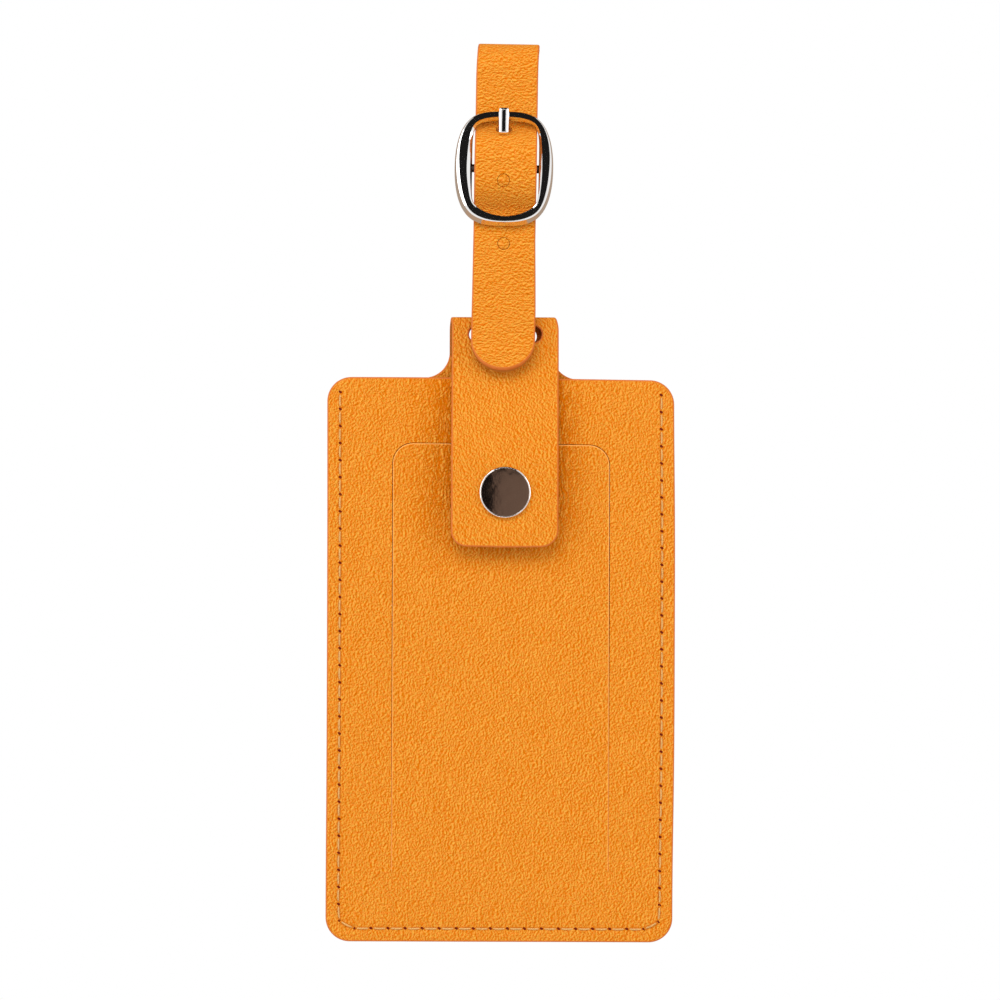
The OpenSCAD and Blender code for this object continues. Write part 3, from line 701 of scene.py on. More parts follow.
fold_marks = [s for s, _, _ in flap_line if fold_start < s < fold_end]


def flap_strip(depth, rounding):
    """The neck and flap as one flat strip with both slots and round lower corners."""
    slot_rows = (rear_slot_at - SLOT_HALF_H, rear_slot_at + SLOT_HALF_H,
                 flap_slot_at - SLOT_HALF_H, flap_slot_at + SLOT_HALF_H)
    marks = [m for m in fold_marks if min(abs(m - r) for r in slot_rows) > 0.3]
    rows = [s for s in stops((0.0, *slot_rows, flap_end), 0.45)
            if s > 0.2 and not any(abs(s - m) < 0.16 for m in fold_marks)]
    rows = sorted([0.0, *rows, *marks])
    cut = flat_cut(stops((-FLAP_HALF, -SLOT_HALF_W, SLOT_HALF_W, FLAP_HALF), 0.5), rows)
    drop_faces(cut, lambda c: abs(c.x) < SLOT_HALF_W
               and min(abs(c.z - rear_slot_at), abs(c.z - flap_slot_at)) < SLOT_HALF_H)
    for at in (rear_slot_at, flap_slot_at):
        for side in (-1, 1):
            for up in (-1, 1):
                round_corner(cut, (side * (SLOT_HALF_W - SLOT_HALF_H), at), (side, up),
                             SLOT_HALF_H - 0.001, 1.0)
    for side, radius in FLAP_CORNERS:
        round_corner(cut, (side * (FLAP_HALF - radius), flap_end - radius), (side, 1), radius)
    return thicken(cut, depth, rounding, keep=lambda co: co.z < 0.01)


def lay_flap(cut, depth_from):
    """Bends the strip over the fold. Its middle line drifts from the neck's to the flap's."""
    flat = cut.verts.layers.float_vector["cut"]
    for v in cut.verts:
        s = v[flat].z
        ease = eased((s - fold_start) / (fold_end - fold_start))
        half = half_neck + (FLAP_HALF - half_neck) * ease
        slot_shift = (REAR_SLOT[0] * math.exp(-(((s - rear_slot_at) / 2) ** 2))
                      if s < (fold_start + fold_end) / 2 else 0)
        across = v.co.x / FLAP_HALF
        bow = FLAP_BULGE * (1 - across * across) * max(0.0, (s - flap_end + 4) / 4) ** 2
        v.co.x = v.co.x * half / FLAP_HALF + FLAP_MIDDLE * ease + slot_shift * (1 - across ** 2)
        v.co.z += bow
        v.co.y += depth_from
    bend(cut, flap_line)
    bmesh.ops.reverse_faces(cut, faces=cut.faces[:])
    return cut


strip = flap_strip(HIDE_T, FLAP_ROUND)
lay_flap(strip, -HIDE_T / 2)
flap_hide = place_piece(strip, "neck_and_flap_hide", drawing, [pocket_hide])
strip = flap_strip(FLAP_LINING_T, 0.08)
lay_flap(strip, HIDE_T / 2)
flap_lining = place_piece(strip, "neck_and_flap_lining", drawing, [lining])
hinge_high = drawing @ Vector((0, FLAP_HINGE_Y, FLAP_HINGE_Z))
hinge_low = drawing @ Vector((0, FLAP_HINGE_Y, FLAP_HINGE_Z - FLAP_BEND_RUN))
for piece, stood_for, finish in ((flap_hide, "closure_flap", "orange_leather"),
                                 (flap_lining, "flap_lining", "orange_lining")):
    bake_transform(piece, "pocket", "flap", start=hinge_high, end=hinge_low)
    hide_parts(stood_for)

# ---- Snap ---------------------------------------------------------------------------------------
# A turned brass snap, plated dark on its cap and bright on its works. The cap's post passes
# through the flap into the socket, whose split ring grips the stud that is riveted to the door.
SNAP_X, SNAP_Z = 0.95, 89.7
CAP_R, CAP_H = 5.15, 0.9
at_snap = drawing @ Matrix.Translation((SNAP_X, 0, SNAP_Z))


def plated(name, colour, rough, tarnish, tarnish_share=0.35):
    """Plated metal with faint polishing marks and handling haze."""
    made, tree, metal = look_of(name)
    place = millimetres(tree)
    haze = cloudy(tree, place, 0.55, 4.0)
    fine = cloudy(tree, place, 9.0, 2.0)
    shine = maths(tree, "MULTIPLY_ADD", haze, 0.06, rough - 0.02)
    feed(tree, metal, {
        "Base Color": mixed(tree, maths(tree, "MULTIPLY", haze, tarnish_share), colour, tarnish),
        "Roughness": maths(tree, "MULTIPLY_ADD", fine, 0.02, shine),
        "Metallic": 1.0,
    })
    raised(tree, metal, haze, 0.00002)
    return made


gunmetal = plated("smoked_cap_plating", (0.46, 0.36, 0.30, 1), 0.07, (0.30, 0.22, 0.18, 1))
bright_rim = plated("bright_rim_plating", (0.90, 0.87, 0.84, 1), 0.06, (0.75, 0.70, 0.66, 1))
steel = plated("snap_steel", (0.72, 0.71, 0.69, 1), 0.16, (0.50, 0.48, 0.45, 1))


def turned(profile, steps=96):
    """A turned part from (radius, y) points, closed on its axis, which runs along Y."""
    shape = bmesh.new()
    verts = [shape.verts.new((radius, y, 0)) for radius, y in profile]
    edges = [shape.edges.new(pair) for pair in zip(verts, verts[1:])]
    bmesh.ops.spin(shape, geom=verts + edges, cent=(0, 0, 0), axis=(0, 1, 0), angle=math.tau,
                   steps=steps, use_merge=True)
    bmesh.ops.remove_doubles(shape, verts=shape.verts[:], dist=0.002)
    bmesh.ops.recalc_face_normals(shape, faces=shape.faces[:])
    return shape


def arc(centre, radius, start, end, count):
    """Points of an arc for a turned profile, angles in degrees from +radius towards -Y."""
    return [(centre[0] + radius * math.cos(math.radians(start + (end - start) * k / count)),
             centre[1] - radius * math.sin(math.radians(start + (end - start) * k / count)))
            for k in range(count + 1)]


DISC_R, DOME, DOME_STEPS = 4.78, 0.10, 12
flap_face_y = FLAP_INNER_Y - FLAP_LINING_T - HIDE_T
cap_face_y = flap_face_y - CAP_H + 0.06
dome = [(DISC_R * r, cap_face_y - DOME * (1 - r * r))
        for r in (0.99, *(k / DOME_STEPS for k in range(DOME_STEPS - 1, -1, -1)))]
rim = [(0, flap_face_y + 0.05), (CAP_R - 0.35, flap_face_y + 0.05)]
rim += arc((CAP_R - 0.22, flap_face_y - 0.20), 0.22, -60, 30, 5)
rim += arc((CAP_R - 0.30, cap_face_y + 0.26), 0.24, 35, 90, 5)
rim += [(DISC_R + 0.06, cap_face_y + 0.02), (DISC_R + 0.02, cap_face_y + 0.07),
        (DISC_R, cap_face_y)]
cap_shape = turned(rim + dome)
for f in cap_shape.faces:
    middle = f.calc_center_median()
    on_disc = math.hypot(middle.x, middle.z) < DISC_R + 0.01 and middle.y < cap_face_y + 0.05
    f.material_index = 0 if on_disc else 1
cap = place_piece(cap_shape, "snap_cap_disc", at_snap, [gunmetal, bright_rim])
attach(cap, "flap")
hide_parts("snap_cap")
for node_name in ("snap_socket", "snap_spring", "snap_stud", "snap_post"):
    refinish(node_name, steel)

# ---- Seam ---------------------------------------------------------------------------------------
# The two hides are lock-stitched with a waxed, twisted thread in a lighter orange. Each stitch presses a
# groove into the hide and dives into slanted needle holes. Dark discs at the holes and a darker strip under
# each stitch are painted shade.
STITCH_COUNT, THREAD_R, STITCH_GAP, STITCH_LIFT, SEAM_SLIP = 81, 0.18, 0.50, 0.10, 0.08
HOLE_HALF_W, HOLE_HALF_H, HOLE_SLANT, SEAM_SHADE_HALF = 0.36, 0.25, 32, 0.38
THREAD_DARK, THREAD_LIGHT = (0.95, 0.44, 0.11, 1), (1.0, 0.64, 0.24, 1)
HOLE_SHADE_DARK, HOLE_SHADE_LIGHT = (0.10, 0.004, 0.001, 1), (0.24, 0.022, 0.003, 1)
SEAM_SHADE_DARK, SEAM_SHADE_LIGHT = (0.53, 0.125, 0.001, 1), (0.74, 0.225, 0.012, 1)
seam_side = BODY_H - SEAM_START - SEAM_Z - SEAM_R
seam_curve = math.pi / 2 * SEAM_R
seam_length = 2 * (seam_side + seam_curve + SEAM_X - SEAM_R)
pitch = seam_length / STITCH_COUNT


def seam_place(s):
    """(x, z) at a distance along the seam, down the left, along and up the right."""
    if s > seam_length / 2:
        x, z = seam_place(seam_length - s)
        return -x, z + SEAM_SLIP * max(0.0, (z - 60) / 50) ** 2
    if s <= seam_side:
        return -SEAM_X, BODY_H - SEAM_START - s
    if s <= seam_side + seam_curve:
        a = math.pi + (s - seam_side) / SEAM_R
        return SEAM_R - SEAM_X + SEAM_R * math.cos(a), SEAM_Z + SEAM_R + SEAM_R * math.sin(a)
    return SEAM_R - SEAM_X + s - seam_side - seam_curve, SEAM_Z


thread, tree, strand = look_of("waxed_thread")
lay = wire(tree, "ShaderNodeAttribute", attribute_name="cut").outputs["Vector"]
twist = wire(tree, "ShaderNodeTexWave",
             {"Vector": lay, "Scale": 1.0, "Distortion": 0.6, "Detail": 1.0},
             wave_type="BANDS", bands_direction="DIAGONAL")
fuzz = cloudy(tree, lay, 6.0, 3.0)
shade = maths(tree, "MULTIPLY_ADD", twist.outputs["Fac"], 0.6, maths(tree, "MULTIPLY", fuzz, 0.4),
              clamp=True)
feed(tree, strand, {
    "Base Color": mixed(tree, shade, THREAD_DARK, THREAD_LIGHT),
    "Roughness": maths(tree, "MULTIPLY_ADD", fuzz, 0.2, 0.45),
    "Specular IOR Level": 0.2,
})
raised(tree, strand, shade, 0.00005)

needle_hole_shade, tree, hole_shade_shader = look_of("needle_hole_shade")
hole_shade_noise = cloudy(tree, millimetres(tree), 4.0, 2.0)
feed(tree, hole_shade_shader, {
    "Base Color": mixed(tree, hole_shade_noise, HOLE_SHADE_DARK, HOLE_SHADE_LIGHT),
    "Roughness": 0.9,
    "Specular IOR Level": 0.1,
})

painted_seam_shade, tree, groove = look_of("painted_seam_shade")
# The strip of painted shade varies at random between its two colours.
worn = maths(tree, "MULTIPLY_ADD", cloudy(tree, millimetres(tree), 1.6, 2.0), 2.0, -0.5, clamp=True)
feed(tree, groove, {
    "Base Color": mixed(tree, worn, SEAM_SHADE_DARK, SEAM_SHADE_LIGHT),
    "Roughness": 0.7,
    "Specular IOR Level": 0.15,
})


def one_stitch(run, lift):
    """A stitch along X from its middle, arched over the surface at Y 0 and diving at both ends."""
    stitch = bmesh.new()
    place = stitch.verts.layers.float_vector.new("cut")
    across = Matrix.Rotation(math.pi / 2, 4, "Y")
    bmesh.ops.create_cone(stitch, segments=8, radius1=THREAD_R, radius2=THREAD_R, depth=run,
                          cap_ends=True, matrix=across)
    lengthwise = [e for e in stitch.edges if abs(e.verts[0].co.x - e.verts[1].co.x) > run / 2]
    bmesh.ops.subdivide_edges(stitch, edges=lengthwise, cuts=7)
    for v in stitch.verts:
        share = 2 * v.co.x / run
        around = math.atan2(v.co.z, v.co.y) / math.tau
        v[place] = (v.co.x * 9, around * 9, 0)
        slim = 1 - 0.35 * abs(share) ** 3
        v.co.y, v.co.z = v.co.y * slim, v.co.z * slim
        v.co.y -= lift - (lift + 0.35) * abs(share) ** 4
        v.co.z -= 0.08 * (1 - share * share)
    return stitch


def seam_thread(name, face_y, outward, relief):
    """All stitches of one side, each over a darker strip of painted shade, with a dark disc of painted shade
    at the needle hole at each end of a stitch."""
    row = bmesh.new()
    template = bpy.data.meshes.new("stitch_template")
    shape = one_stitch(pitch - STITCH_GAP, STITCH_LIFT)
    seam_shade_at = Matrix.Translation((0, -0.03, 0)) @ Matrix.Rotation(math.pi / 2, 4, "X")
    bmesh.ops.create_circle(shape, cap_ends=True, segments=20, radius=1,
                            matrix=seam_shade_at @ Matrix.Diagonal((pitch / 2 - 0.1, SEAM_SHADE_HALF, 1, 1)))
    shape.faces.ensure_lookup_table()
    shape.faces[-1].material_index = 2
    shape.to_mesh(template)
    shape.free()
    for k in range(STITCH_COUNT):
        x0, z0 = seam_place(k * pitch)
        x1, z1 = seam_place((k + 1) * pitch)
        x, z = (x0 + x1) / 2, (z0 + z1) / 2
        before = len(row.verts)
        row.from_mesh(template)
        row.verts.ensure_lookup_table()
        heading = math.atan2(z1 - z0, x1 - x0)
        turn = Matrix.Rotation(-heading, 4, "Y") @ Matrix.Scale(outward, 4, (0, 1, 0))
        spot = Matrix.Translation((x, face_y + relief(x, z), z))
        bmesh.ops.transform(row, matrix=spot @ turn, verts=row.verts[before:])
    bpy.data.meshes.remove(template)
    # Dark discs of painted shade stand for the needle holes.
    slant = (Matrix.Rotation(math.radians(HOLE_SLANT), 4, "Y")
             @ Matrix.Rotation(math.pi / 2, 4, "X")
             @ Matrix.Diagonal((HOLE_HALF_W, HOLE_HALF_H, 1, 1)))
    for k in range(STITCH_COUNT + 1):
        x, z = seam_place(min(k * pitch, seam_length - 1e-6))
        spot = Matrix.Translation((x, face_y + relief(x, z) - 0.045 * outward, z))
        bmesh.ops.create_circle(row, cap_ends=True, segments=14, radius=1, matrix=spot @ slant)
        row.faces.ensure_lookup_table()
        row.faces[-1].material_index = 1
    bmesh.ops.recalc_face_normals(row, faces=row.faces[:])
    for f in row.faces:
        if f.material_index and f.normal.y * outward > 0:
            f.normal_flip()
    piece = place_piece(row, name, drawing, [thread, needle_hole_shade, painted_seam_shade])
    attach(piece, "pocket")
    return piece


front_thread = seam_thread("front_seam_thread", FRONT_Y, 1,
                           lambda x, z: hide_relief(x, z) + sewn_relief(x, z))
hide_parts("front_thread")
back_thread = seam_thread("back_seam_thread", BACK_INNER_Y + HIDE_T, -1,
                          lambda x, z: back_relief(x, z) - sewn_relief(x, z))
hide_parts("back_thread")

# ---- Strap --------------------------------------------------------------------------------------
# A strip of the same hide with a thin lining. From its round tip it runs up over the buckle's bar
# and round the loop, down the back, through the neck's slot, up the front, round the bar and down
# to its sewn end. Two of its adjusting holes still have their cut plugs.
STRAP_W, STRAP_T, STRAP_LINING_T = 12.3, 1.3, 0.45
STRAP_X, STRAP_LEAN, PIVOT_Z = 0.32, 0.8, 121.3
BUCKLE_Z, BAR_R, LOOP_R, STRAP_TOP, TIP_Z = 153.7, 0.8, 4.3, 179.3, 113.7
STRAND_Y, LAYER_GAP, RUN_GAP = -3.05, 0.2, 0.05
PRONG_X, PRONG_HOLE_R, PRONG_HOLE_H = -0.47, 1.6, 7.3
PLUG_R, PLUG_GAP, PLUG_SPOTS = 1.2, 0.09, ((-0.38, 151.2), (-0.12, 139.0))
CREST_H, BEND_H, TOP_CREST_H, TOP_BEND_H = 3.4, 7.9, 4.6, 7.8
CREST_R, BEND_R = 6.0, 3.0
TIP_RUN, TIP_LEAN, TIP_SPREAD, TIP_SHIFT = 8, math.radians(9), 0.032, 0.08
LOOP_PINCH, LOOP_SHIFT, RETURN_RUN = 0.016, 0.34, 14
tail_y = STRAND_Y - STRAP_T - LAYER_GAP
strand_pitch = STRAP_T + LAYER_GAP
frame_back_y = tail_y - STRAP_T / 2 - 0.32
FRAME_T = 1.8
frame_y = frame_back_y - FRAME_T / 2
bar_y = frame_y + 0.3
wrap_r = BAR_R + RUN_GAP + STRAP_T / 2
crest_y = bar_y - wrap_r - strand_pitch
hump = math.atan((tail_y - crest_y) / (BEND_H - CREST_H))
rise_share = math.tan(hump / 2)
loop_mid_r = LOOP_R + STRAP_T / 2
loop_y = tail_y + STRAP_T / 2 + LOOP_R
loop_z = STRAP_TOP - STRAP_T - LOOP_R
flare_z = TIP_Z + 7
strand_bend = (STRAND_Y, BUCKLE_Z - BEND_H + strand_pitch * rise_share)
return_pitch = STRAP_T + 0.1
return_bend = (strand_bend[0] + return_pitch, strand_bend[1] + return_pitch * rise_share)
return_crest_y = bar_y + wrap_r
strap_line = bent_line([
    (tail_y - TIP_RUN * math.tan(TIP_LEAN), flare_z - TIP_RUN, 0),
    (tail_y, flare_z, 12),
    (tail_y, BUCKLE_Z - BEND_H, BEND_R),
    (crest_y, BUCKLE_Z - CREST_H, CREST_R),
    (crest_y, BUCKLE_Z + TOP_CREST_H, CREST_R),
    (tail_y, BUCKLE_Z + TOP_BEND_H, BEND_R),
    (tail_y, loop_z + loop_mid_r, loop_mid_r),
    (loop_y + loop_mid_r, loop_z + loop_mid_r, loop_mid_r),
    (loop_y + loop_mid_r, 151, 60),
    (2.9, 128, 40),
    (2.9, PIVOT_Z, 1),
    (STRAND_Y, PIVOT_Z, 1),
    (*strand_bend, BEND_R + strand_pitch),
    (crest_y + strand_pitch, BUCKLE_Z - CREST_H + strand_pitch * rise_share,
     CREST_R - strand_pitch),
    (bar_y - wrap_r, BUCKLE_Z + wrap_r, wrap_r - 0.01),
    (bar_y + wrap_r, BUCKLE_Z + wrap_r, wrap_r - 0.01),
    (return_crest_y, return_bend[1] + (return_bend[0] - return_crest_y) / math.tan(hump), BEND_R),
    (*return_bend, BEND_R),
    (return_bend[0], BUCKLE_Z - RETURN_RUN, 0),
])
strap_place = (drawing @ Matrix.Translation((STRAP_X, 0, PIVOT_Z))
               @ Matrix.Rotation(math.radians(STRAP_LEAN), 4, "Y")
               @ Matrix.Translation((0, 0, -PIVOT_Z)))
tip_at = distance_at(strap_line, TIP_Z)
strap_end = strap_line[-1][0]
hole_at = distance_at(strap_line, BUCKLE_Z + PRONG_HOLE_H)
plugs_at = [(x, distance_at(strap_line, z)) for x, z in PLUG_SPOTS]
top_at = distance_at(strap_line, loop_z + loop_mid_r - 0.3)
wrap_marks = [s for s, p, _ in strap_line
              if s > strap_end / 2 and math.hypot(p.x - bar_y, p.y - BUCKLE_Z) < wrap_r + 0.08]
strap_hide = hide("strap_hide", stretch=(0.85, 1.0, 1.3), light_side_offset=(0.05, 0, -0.25), depth=0.00012)


def punch(cut, x, z, radius):
    """A round hole: the faces inside go, and the ragged rim is spread evenly on the circle."""
    centre = Vector((x, 0, z))
    drop_faces(cut, lambda c: (c - centre).length < radius)
    rim = [v for v in cut.verts if v.is_boundary and (v.co - centre).length < radius + 0.5]
    angle = {v: math.atan2(v.co.z - z, v.co.x - x) for v in rim}
    rim.sort(key=angle.get)
    count = len(rim)
    start = sum(angle[v] - math.tau * k / count for k, v in enumerate(rim)) / count
    for k, v in enumerate(rim):
        a = start + math.tau * k / count
        v.co = centre + radius * Vector((math.cos(a), 0, math.sin(a)))
    near = [v for v in cut.verts if not v.is_boundary and (v.co - centre).length < radius + 0.9]
    for _ in range(2):
        bmesh.ops.smooth_vert(cut, verts=near, factor=0.5, use_axis_x=True, use_axis_z=True)


def at_hole(co):
    """The rims of the punched holes, which stay sharp and unpainted."""
    return any(math.hypot(co.x - x, co.z - at) < PRONG_HOLE_R + 0.1
               for x, at in ((PRONG_X, hole_at), *plugs_at))


def strap_drift(x, s):
    """The strap has crept sideways at its loop, and its worn tip has spread."""
    spread = share_of((tip_at + 27 - s) / 15)
    loop = max(0.0, 1 - abs(s - top_at) / 9) ** 2
    wide = 1 + TIP_SPREAD * spread - LOOP_PINCH * loop
    shift = 0.04 + TIP_SHIFT * spread + LOOP_SHIFT * loop
    return x * wide + shift + 0.04 * noise.noise((3.3, 1.7, s / 14))


def strap_strip(depth, rounding, depth_from, plug_holes):
    """One layer of the strap, from tip to sewn end, bent along the strap's line."""
    marks = [s for s, _, _ in strap_line if s > tip_at + 0.4]
    rows = [tip_at]
    for mark in [*marks, strap_end]:
        if mark - rows[-1] > 0.12:
            rows = [*rows[:-1], *stops((rows[-1], mark), 0.42)]
    half = STRAP_W / 2
    cut = flat_cut(stops((-half, PRONG_X - 1.3, PRONG_X + 1.3, half), 0.4), rows)
    for side in (-1, 1):
        round_corner(cut, (0, tip_at + half), (side, -1), half)
    punch(cut, PRONG_X, hole_at, PRONG_HOLE_R)
    if plug_holes:
        for x, at in plugs_at:
            punch(cut, x, at, PLUG_R + PLUG_GAP / 2)
    drop_faces(cut, lambda c: abs(c.x - PRONG_X) < 1.3 and wrap_marks[0] < c.z < wrap_marks[-1])
    thicken(cut, depth, rounding, keep=at_hole)
    for v in cut.verts:
        v.co.y += depth_from
        v.co.x = strap_drift(v.co.x, v.co.z)
        rounded = max(0.0, (tip_at + half - v.co.z) / half)
        v.co.z += (0.40 - 0.55 * (v.co.y / STRAP_T + 0.5)) * rounded
    return bend(cut, strap_line)


outer = strap_strip(STRAP_T - STRAP_LINING_T, EDGE_ROUND, -STRAP_T / 2, True)
strap_outer = place_piece(outer, "strap_hide_strip", strap_place, [strap_hide])
inner = strap_strip(STRAP_LINING_T, 0.1, STRAP_T / 2 - STRAP_LINING_T, False)
strap_inner = place_piece(inner, "strap_lining_strip", strap_place, [lining])


def absorb(whole, part):
    """Adds a finished shape to another."""
    held = bpy.data.meshes.new("held")
    part.to_mesh(held)
    part.free()
    whole.from_mesh(held)
    bpy.data.meshes.remove(held)


# Each plug is what the punch cut free: it fills its hole but for a hair's gap.
plugs = bmesh.new()
plug_face, plug_side = -STRAP_T / 2 + 0.01, PLUG_R - PLUG_GAP / 2
for x, at in plugs_at:
    plug = turned([(0, plug_face), (PLUG_R - 0.10, plug_face), (plug_side, plug_face + 0.06),
                   (plug_side, -0.05), (0, -0.05)], steps=40)
    flat = plug.verts.layers.float_vector.new("cut")
    bmesh.ops.translate(plug, verts=plug.verts[:], vec=(x, 0, at))
    for v in plug.verts:
        v[flat] = v.co
        v.co.x = strap_drift(v.co.x, v.co.z)
    absorb(plugs, bend(plug, strap_line))
strap_plugs = place_piece(plugs, "strap_hole_plugs", strap_place, [strap_hide])
for piece, stood_for, finish in ((strap_outer, "strap", "orange_leather"),
                                 (strap_inner, "strap_lining", "orange_lining")):
    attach(piece, "strap")
    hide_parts(stood_for)
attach(strap_plugs, "strap")
refinish("strap_end_stitches", thread)

# ---- Buckle -------------------------------------------------------------------------------------
# A cast and chromed frame with a bevel on its inner and outer edges, a round centre bar coloured near black
# as painted shade, and a half-round prong whose ring turns on the bar.
BUCKLE_W, BUCKLE_H, BUCKLE_N, BUCKLE_END_N = 19.5, 22.6, 2.42, 3.05
OPENING_W, OPENING_H, OPENING_N, BUCKLE_SIDE = 13.2, 18.8, 6.0, -0.3
BUCKLE_STEPS, ARCH_TOP, ARCH_BOTTOM, SHARP_FROM = 160, 0.010, -0.050, 0.12
chrome = plated("chrome_plating", (0.86, 0.85, 0.84, 1), 0.05, (0.74, 0.71, 0.68, 1), 0.25)
# The bar is plated near black: painted shade for the dark that its chrome would mirror.
bar_painted_shade = plated("painted_shade_bar_plating", (0.060, 0.040, 0.034, 1), 0.25, (0.030, 0.018, 0.014, 1))


def ray_reach(width, height, squareness, a):
    """Distance from the middle to the outline, straight towards angle a."""
    c, s = abs(math.cos(a)) / (width / 2), abs(math.sin(a)) / (height / 2)
    return (c ** squareness + s ** squareness) ** (-1 / squareness)


def frame_section(a, width):
    """The section at angle a, inside to outside: (share of the width, height) at ten corners. The
    bevels that look down are cut wide, and those that look up are narrow."""
    up = math.sin(a)
    top, bottom, left = max(0.0, up), max(0.0, -up), (1 - math.cos(a)) * (1 - up * up)
    wall = 0.02 + 0.045 * left
    inner = 0.23 + 0.17 * top ** 8 - 0.18 * bottom ** 2 + 0.035 * left
    outer = 0.27 - 0.175 * up + 0.005 * up * up
    steep = outer * (0.44 - 0.03 * up + 0.32 * up * up)
    inner_drop = 0.115 - 0.075 * bottom + 0.72 * top ** 4
    wall_drop = inner_drop + 2.5 * wall * width
    edge_drop = 0.7 * (outer - steep) * width
    outer_drop = edge_drop + (2.4 - 0.8 * bottom) * steep * width
    middle = (inner + 1 - outer) / 2
    return [(0, 0), (0, FRAME_T - wall_drop), (wall, FRAME_T - inner_drop), (inner, FRAME_T),
            (middle, FRAME_T + 0.012), (1 - outer, FRAME_T), (1 - steep, FRAME_T - edge_drop),
            (1, FRAME_T - outer_drop), (1, 0.1), (0.97, 0)]


# The frame's ring is spun as ten plain hoops first, and each corner is then put in its place.
ring = bmesh.new()
verts = [ring.verts.new((10 + k, 0, 0)) for k in range(10)]
edges = [ring.edges.new(pair) for pair in zip(verts, verts[1:])]
bmesh.ops.spin(ring, geom=verts + edges, cent=(0, 0, 0), axis=(0, 1, 0), angle=math.tau,
               steps=BUCKLE_STEPS, use_merge=True)
bmesh.ops.remove_doubles(ring, verts=ring.verts[:], dist=0.001)
bmesh.ops.bridge_loops(ring, edges=[e for e in ring.edges if e.is_boundary])
for v in ring.verts:
    a = math.atan2(v.co.z, v.co.x)
    inner_r = ray_reach(OPENING_W, OPENING_H, OPENING_N, a)
    squareness = BUCKLE_N + (BUCKLE_END_N - BUCKLE_N) * math.sin(a) ** 2
    outer_r = ray_reach(BUCKLE_W, BUCKLE_H, squareness, a)
    share, height = frame_section(a, outer_r - inner_r)[round(math.hypot(v.co.x, v.co.z)) - 10]
    r = inner_r + (outer_r - inner_r) * share
    x, z = r * math.cos(a), r * math.sin(a)
    arch = (ARCH_TOP if z > 0 else ARCH_BOTTOM) * x * x * (2 * z / OPENING_H) ** 4
    v.co = x + BUCKLE_SIDE * share, frame_back_y - height, z - arch * (1 - share) ** 1.5
bmesh.ops.recalc_face_normals(ring, faces=ring.faces[:])
for e in ring.edges:
    e.smooth = e.calc_face_angle() < SHARP_FROM
bar_shape = bmesh.new()
bmesh.ops.create_cone(bar_shape, segments=40, radius1=BAR_R, radius2=BAR_R,
                      depth=(BUCKLE_W + OPENING_W) / 2, cap_ends=True,
                      matrix=Matrix.Translation((BUCKLE_SIDE / 2, bar_y, 0))
                      @ Matrix.Rotation(math.pi / 2, 4, "Y"))
for f in bar_shape.faces:
    f.material_index = 1
absorb(ring, bar_shape)
bmesh.ops.translate(ring, verts=ring.verts[:], vec=(0, 0, BUCKLE_Z))
buckle = place_piece(ring, "buckle_chrome_frame", strap_place, [chrome, bar_painted_shade])
shading = buckle.modifiers.new("even_shading", "WEIGHTED_NORMAL")
shading.weight = 90
shading.keep_sharp = True
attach(buckle, "buckle")
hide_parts("buckle_frame")

PRONG_W, PRONG_T, SHOULDER_Z, PRONG_FLAT = 2.02, 1.0, BUCKLE_Z + 7.0, 0.68
PRONG_ROOT, PRONG_RISE, PRONG_KNEE, PRONG_TIP, PRONG_ROUND = 1.1, 6.9, 8.95, 11.9, 0.35
COLLAR_T, COLLAR_ROUND = 0.65, 0.06
rest_y = frame_y - FRAME_T / 2 - RUN_GAP - PRONG_T / 2
ring_r = BAR_R + RUN_GAP
arm_line = bent_line([(bar_y, BUCKLE_Z + PRONG_ROOT, 0), (bar_y - 0.1, BUCKLE_Z + PRONG_RISE, 3),
                      (rest_y, BUCKLE_Z + PRONG_KNEE, 1.5), (rest_y, BUCKLE_Z + PRONG_TIP, 0)])
arm = bmesh.new()
bmesh.ops.create_cone(arm, segments=28, radius1=1, radius2=1, depth=arm_line[-1][0], cap_ends=True,
                      matrix=Matrix.Translation((0, 0, arm_line[-1][0] / 2)))
lengthwise = [e for e in arm.edges if abs(e.verts[0].co.z - e.verts[1].co.z) > 2]
bmesh.ops.subdivide_edges(arm, edges=lengthwise, cuts=44)
for v in arm.verts:
    left = min(arm_line[-1][0] - v.co.z, PRONG_ROUND)
    slim = math.sqrt(max(0.0, 1 - (1 - left / PRONG_ROUND) ** 2)) * 0.6 + 0.4
    v.co.x = math.copysign(abs(v.co.x) ** PRONG_FLAT, v.co.x) * PRONG_W / 2 * (0.25 * slim + 0.75)
    v.co.y = v.co.y * PRONG_T / 2 * slim * (0.85 if v.co.y > 0 else 1.0)
front_of = {v: min(v.co.y, 0.0) for v in arm.verts}
bend(arm, arm_line)
for v, forward in front_of.items():
    stand = share_of((v.co.z - SHOULDER_Z + 0.6) / 0.6)
    if forward < 0:
        v.co.y = min(v.co.y, v.co.y + (rest_y + forward - v.co.y) * math.sqrt(stand))
bmesh.ops.translate(arm, verts=arm.verts[:], vec=(PRONG_X, 0, 0))
collar_end, collar_r = PRONG_W / 2, ring_r + COLLAR_T
half_collar = [(ring_r, collar_end - COLLAR_ROUND), (ring_r + COLLAR_ROUND, collar_end),
               (collar_r - 0.08, collar_end), (collar_r, collar_end - 0.10)]
collar = turned([*((r, -y) for r, y in half_collar), *half_collar[::-1],
                 (ring_r, COLLAR_ROUND - collar_end)], steps=48)
bmesh.ops.transform(collar, verts=collar.verts[:],
                    matrix=Matrix.Translation((PRONG_X, bar_y, BUCKLE_Z))
                    @ Matrix.Rotation(math.pi / 2, 4, "Z"))
absorb(arm, collar)
bmesh.ops.recalc_face_normals(arm, faces=arm.faces[:])
prong = place_piece(arm, "buckle_chrome_prong", strap_place, [chrome])
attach(prong, "prong")
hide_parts("buckle_prong")

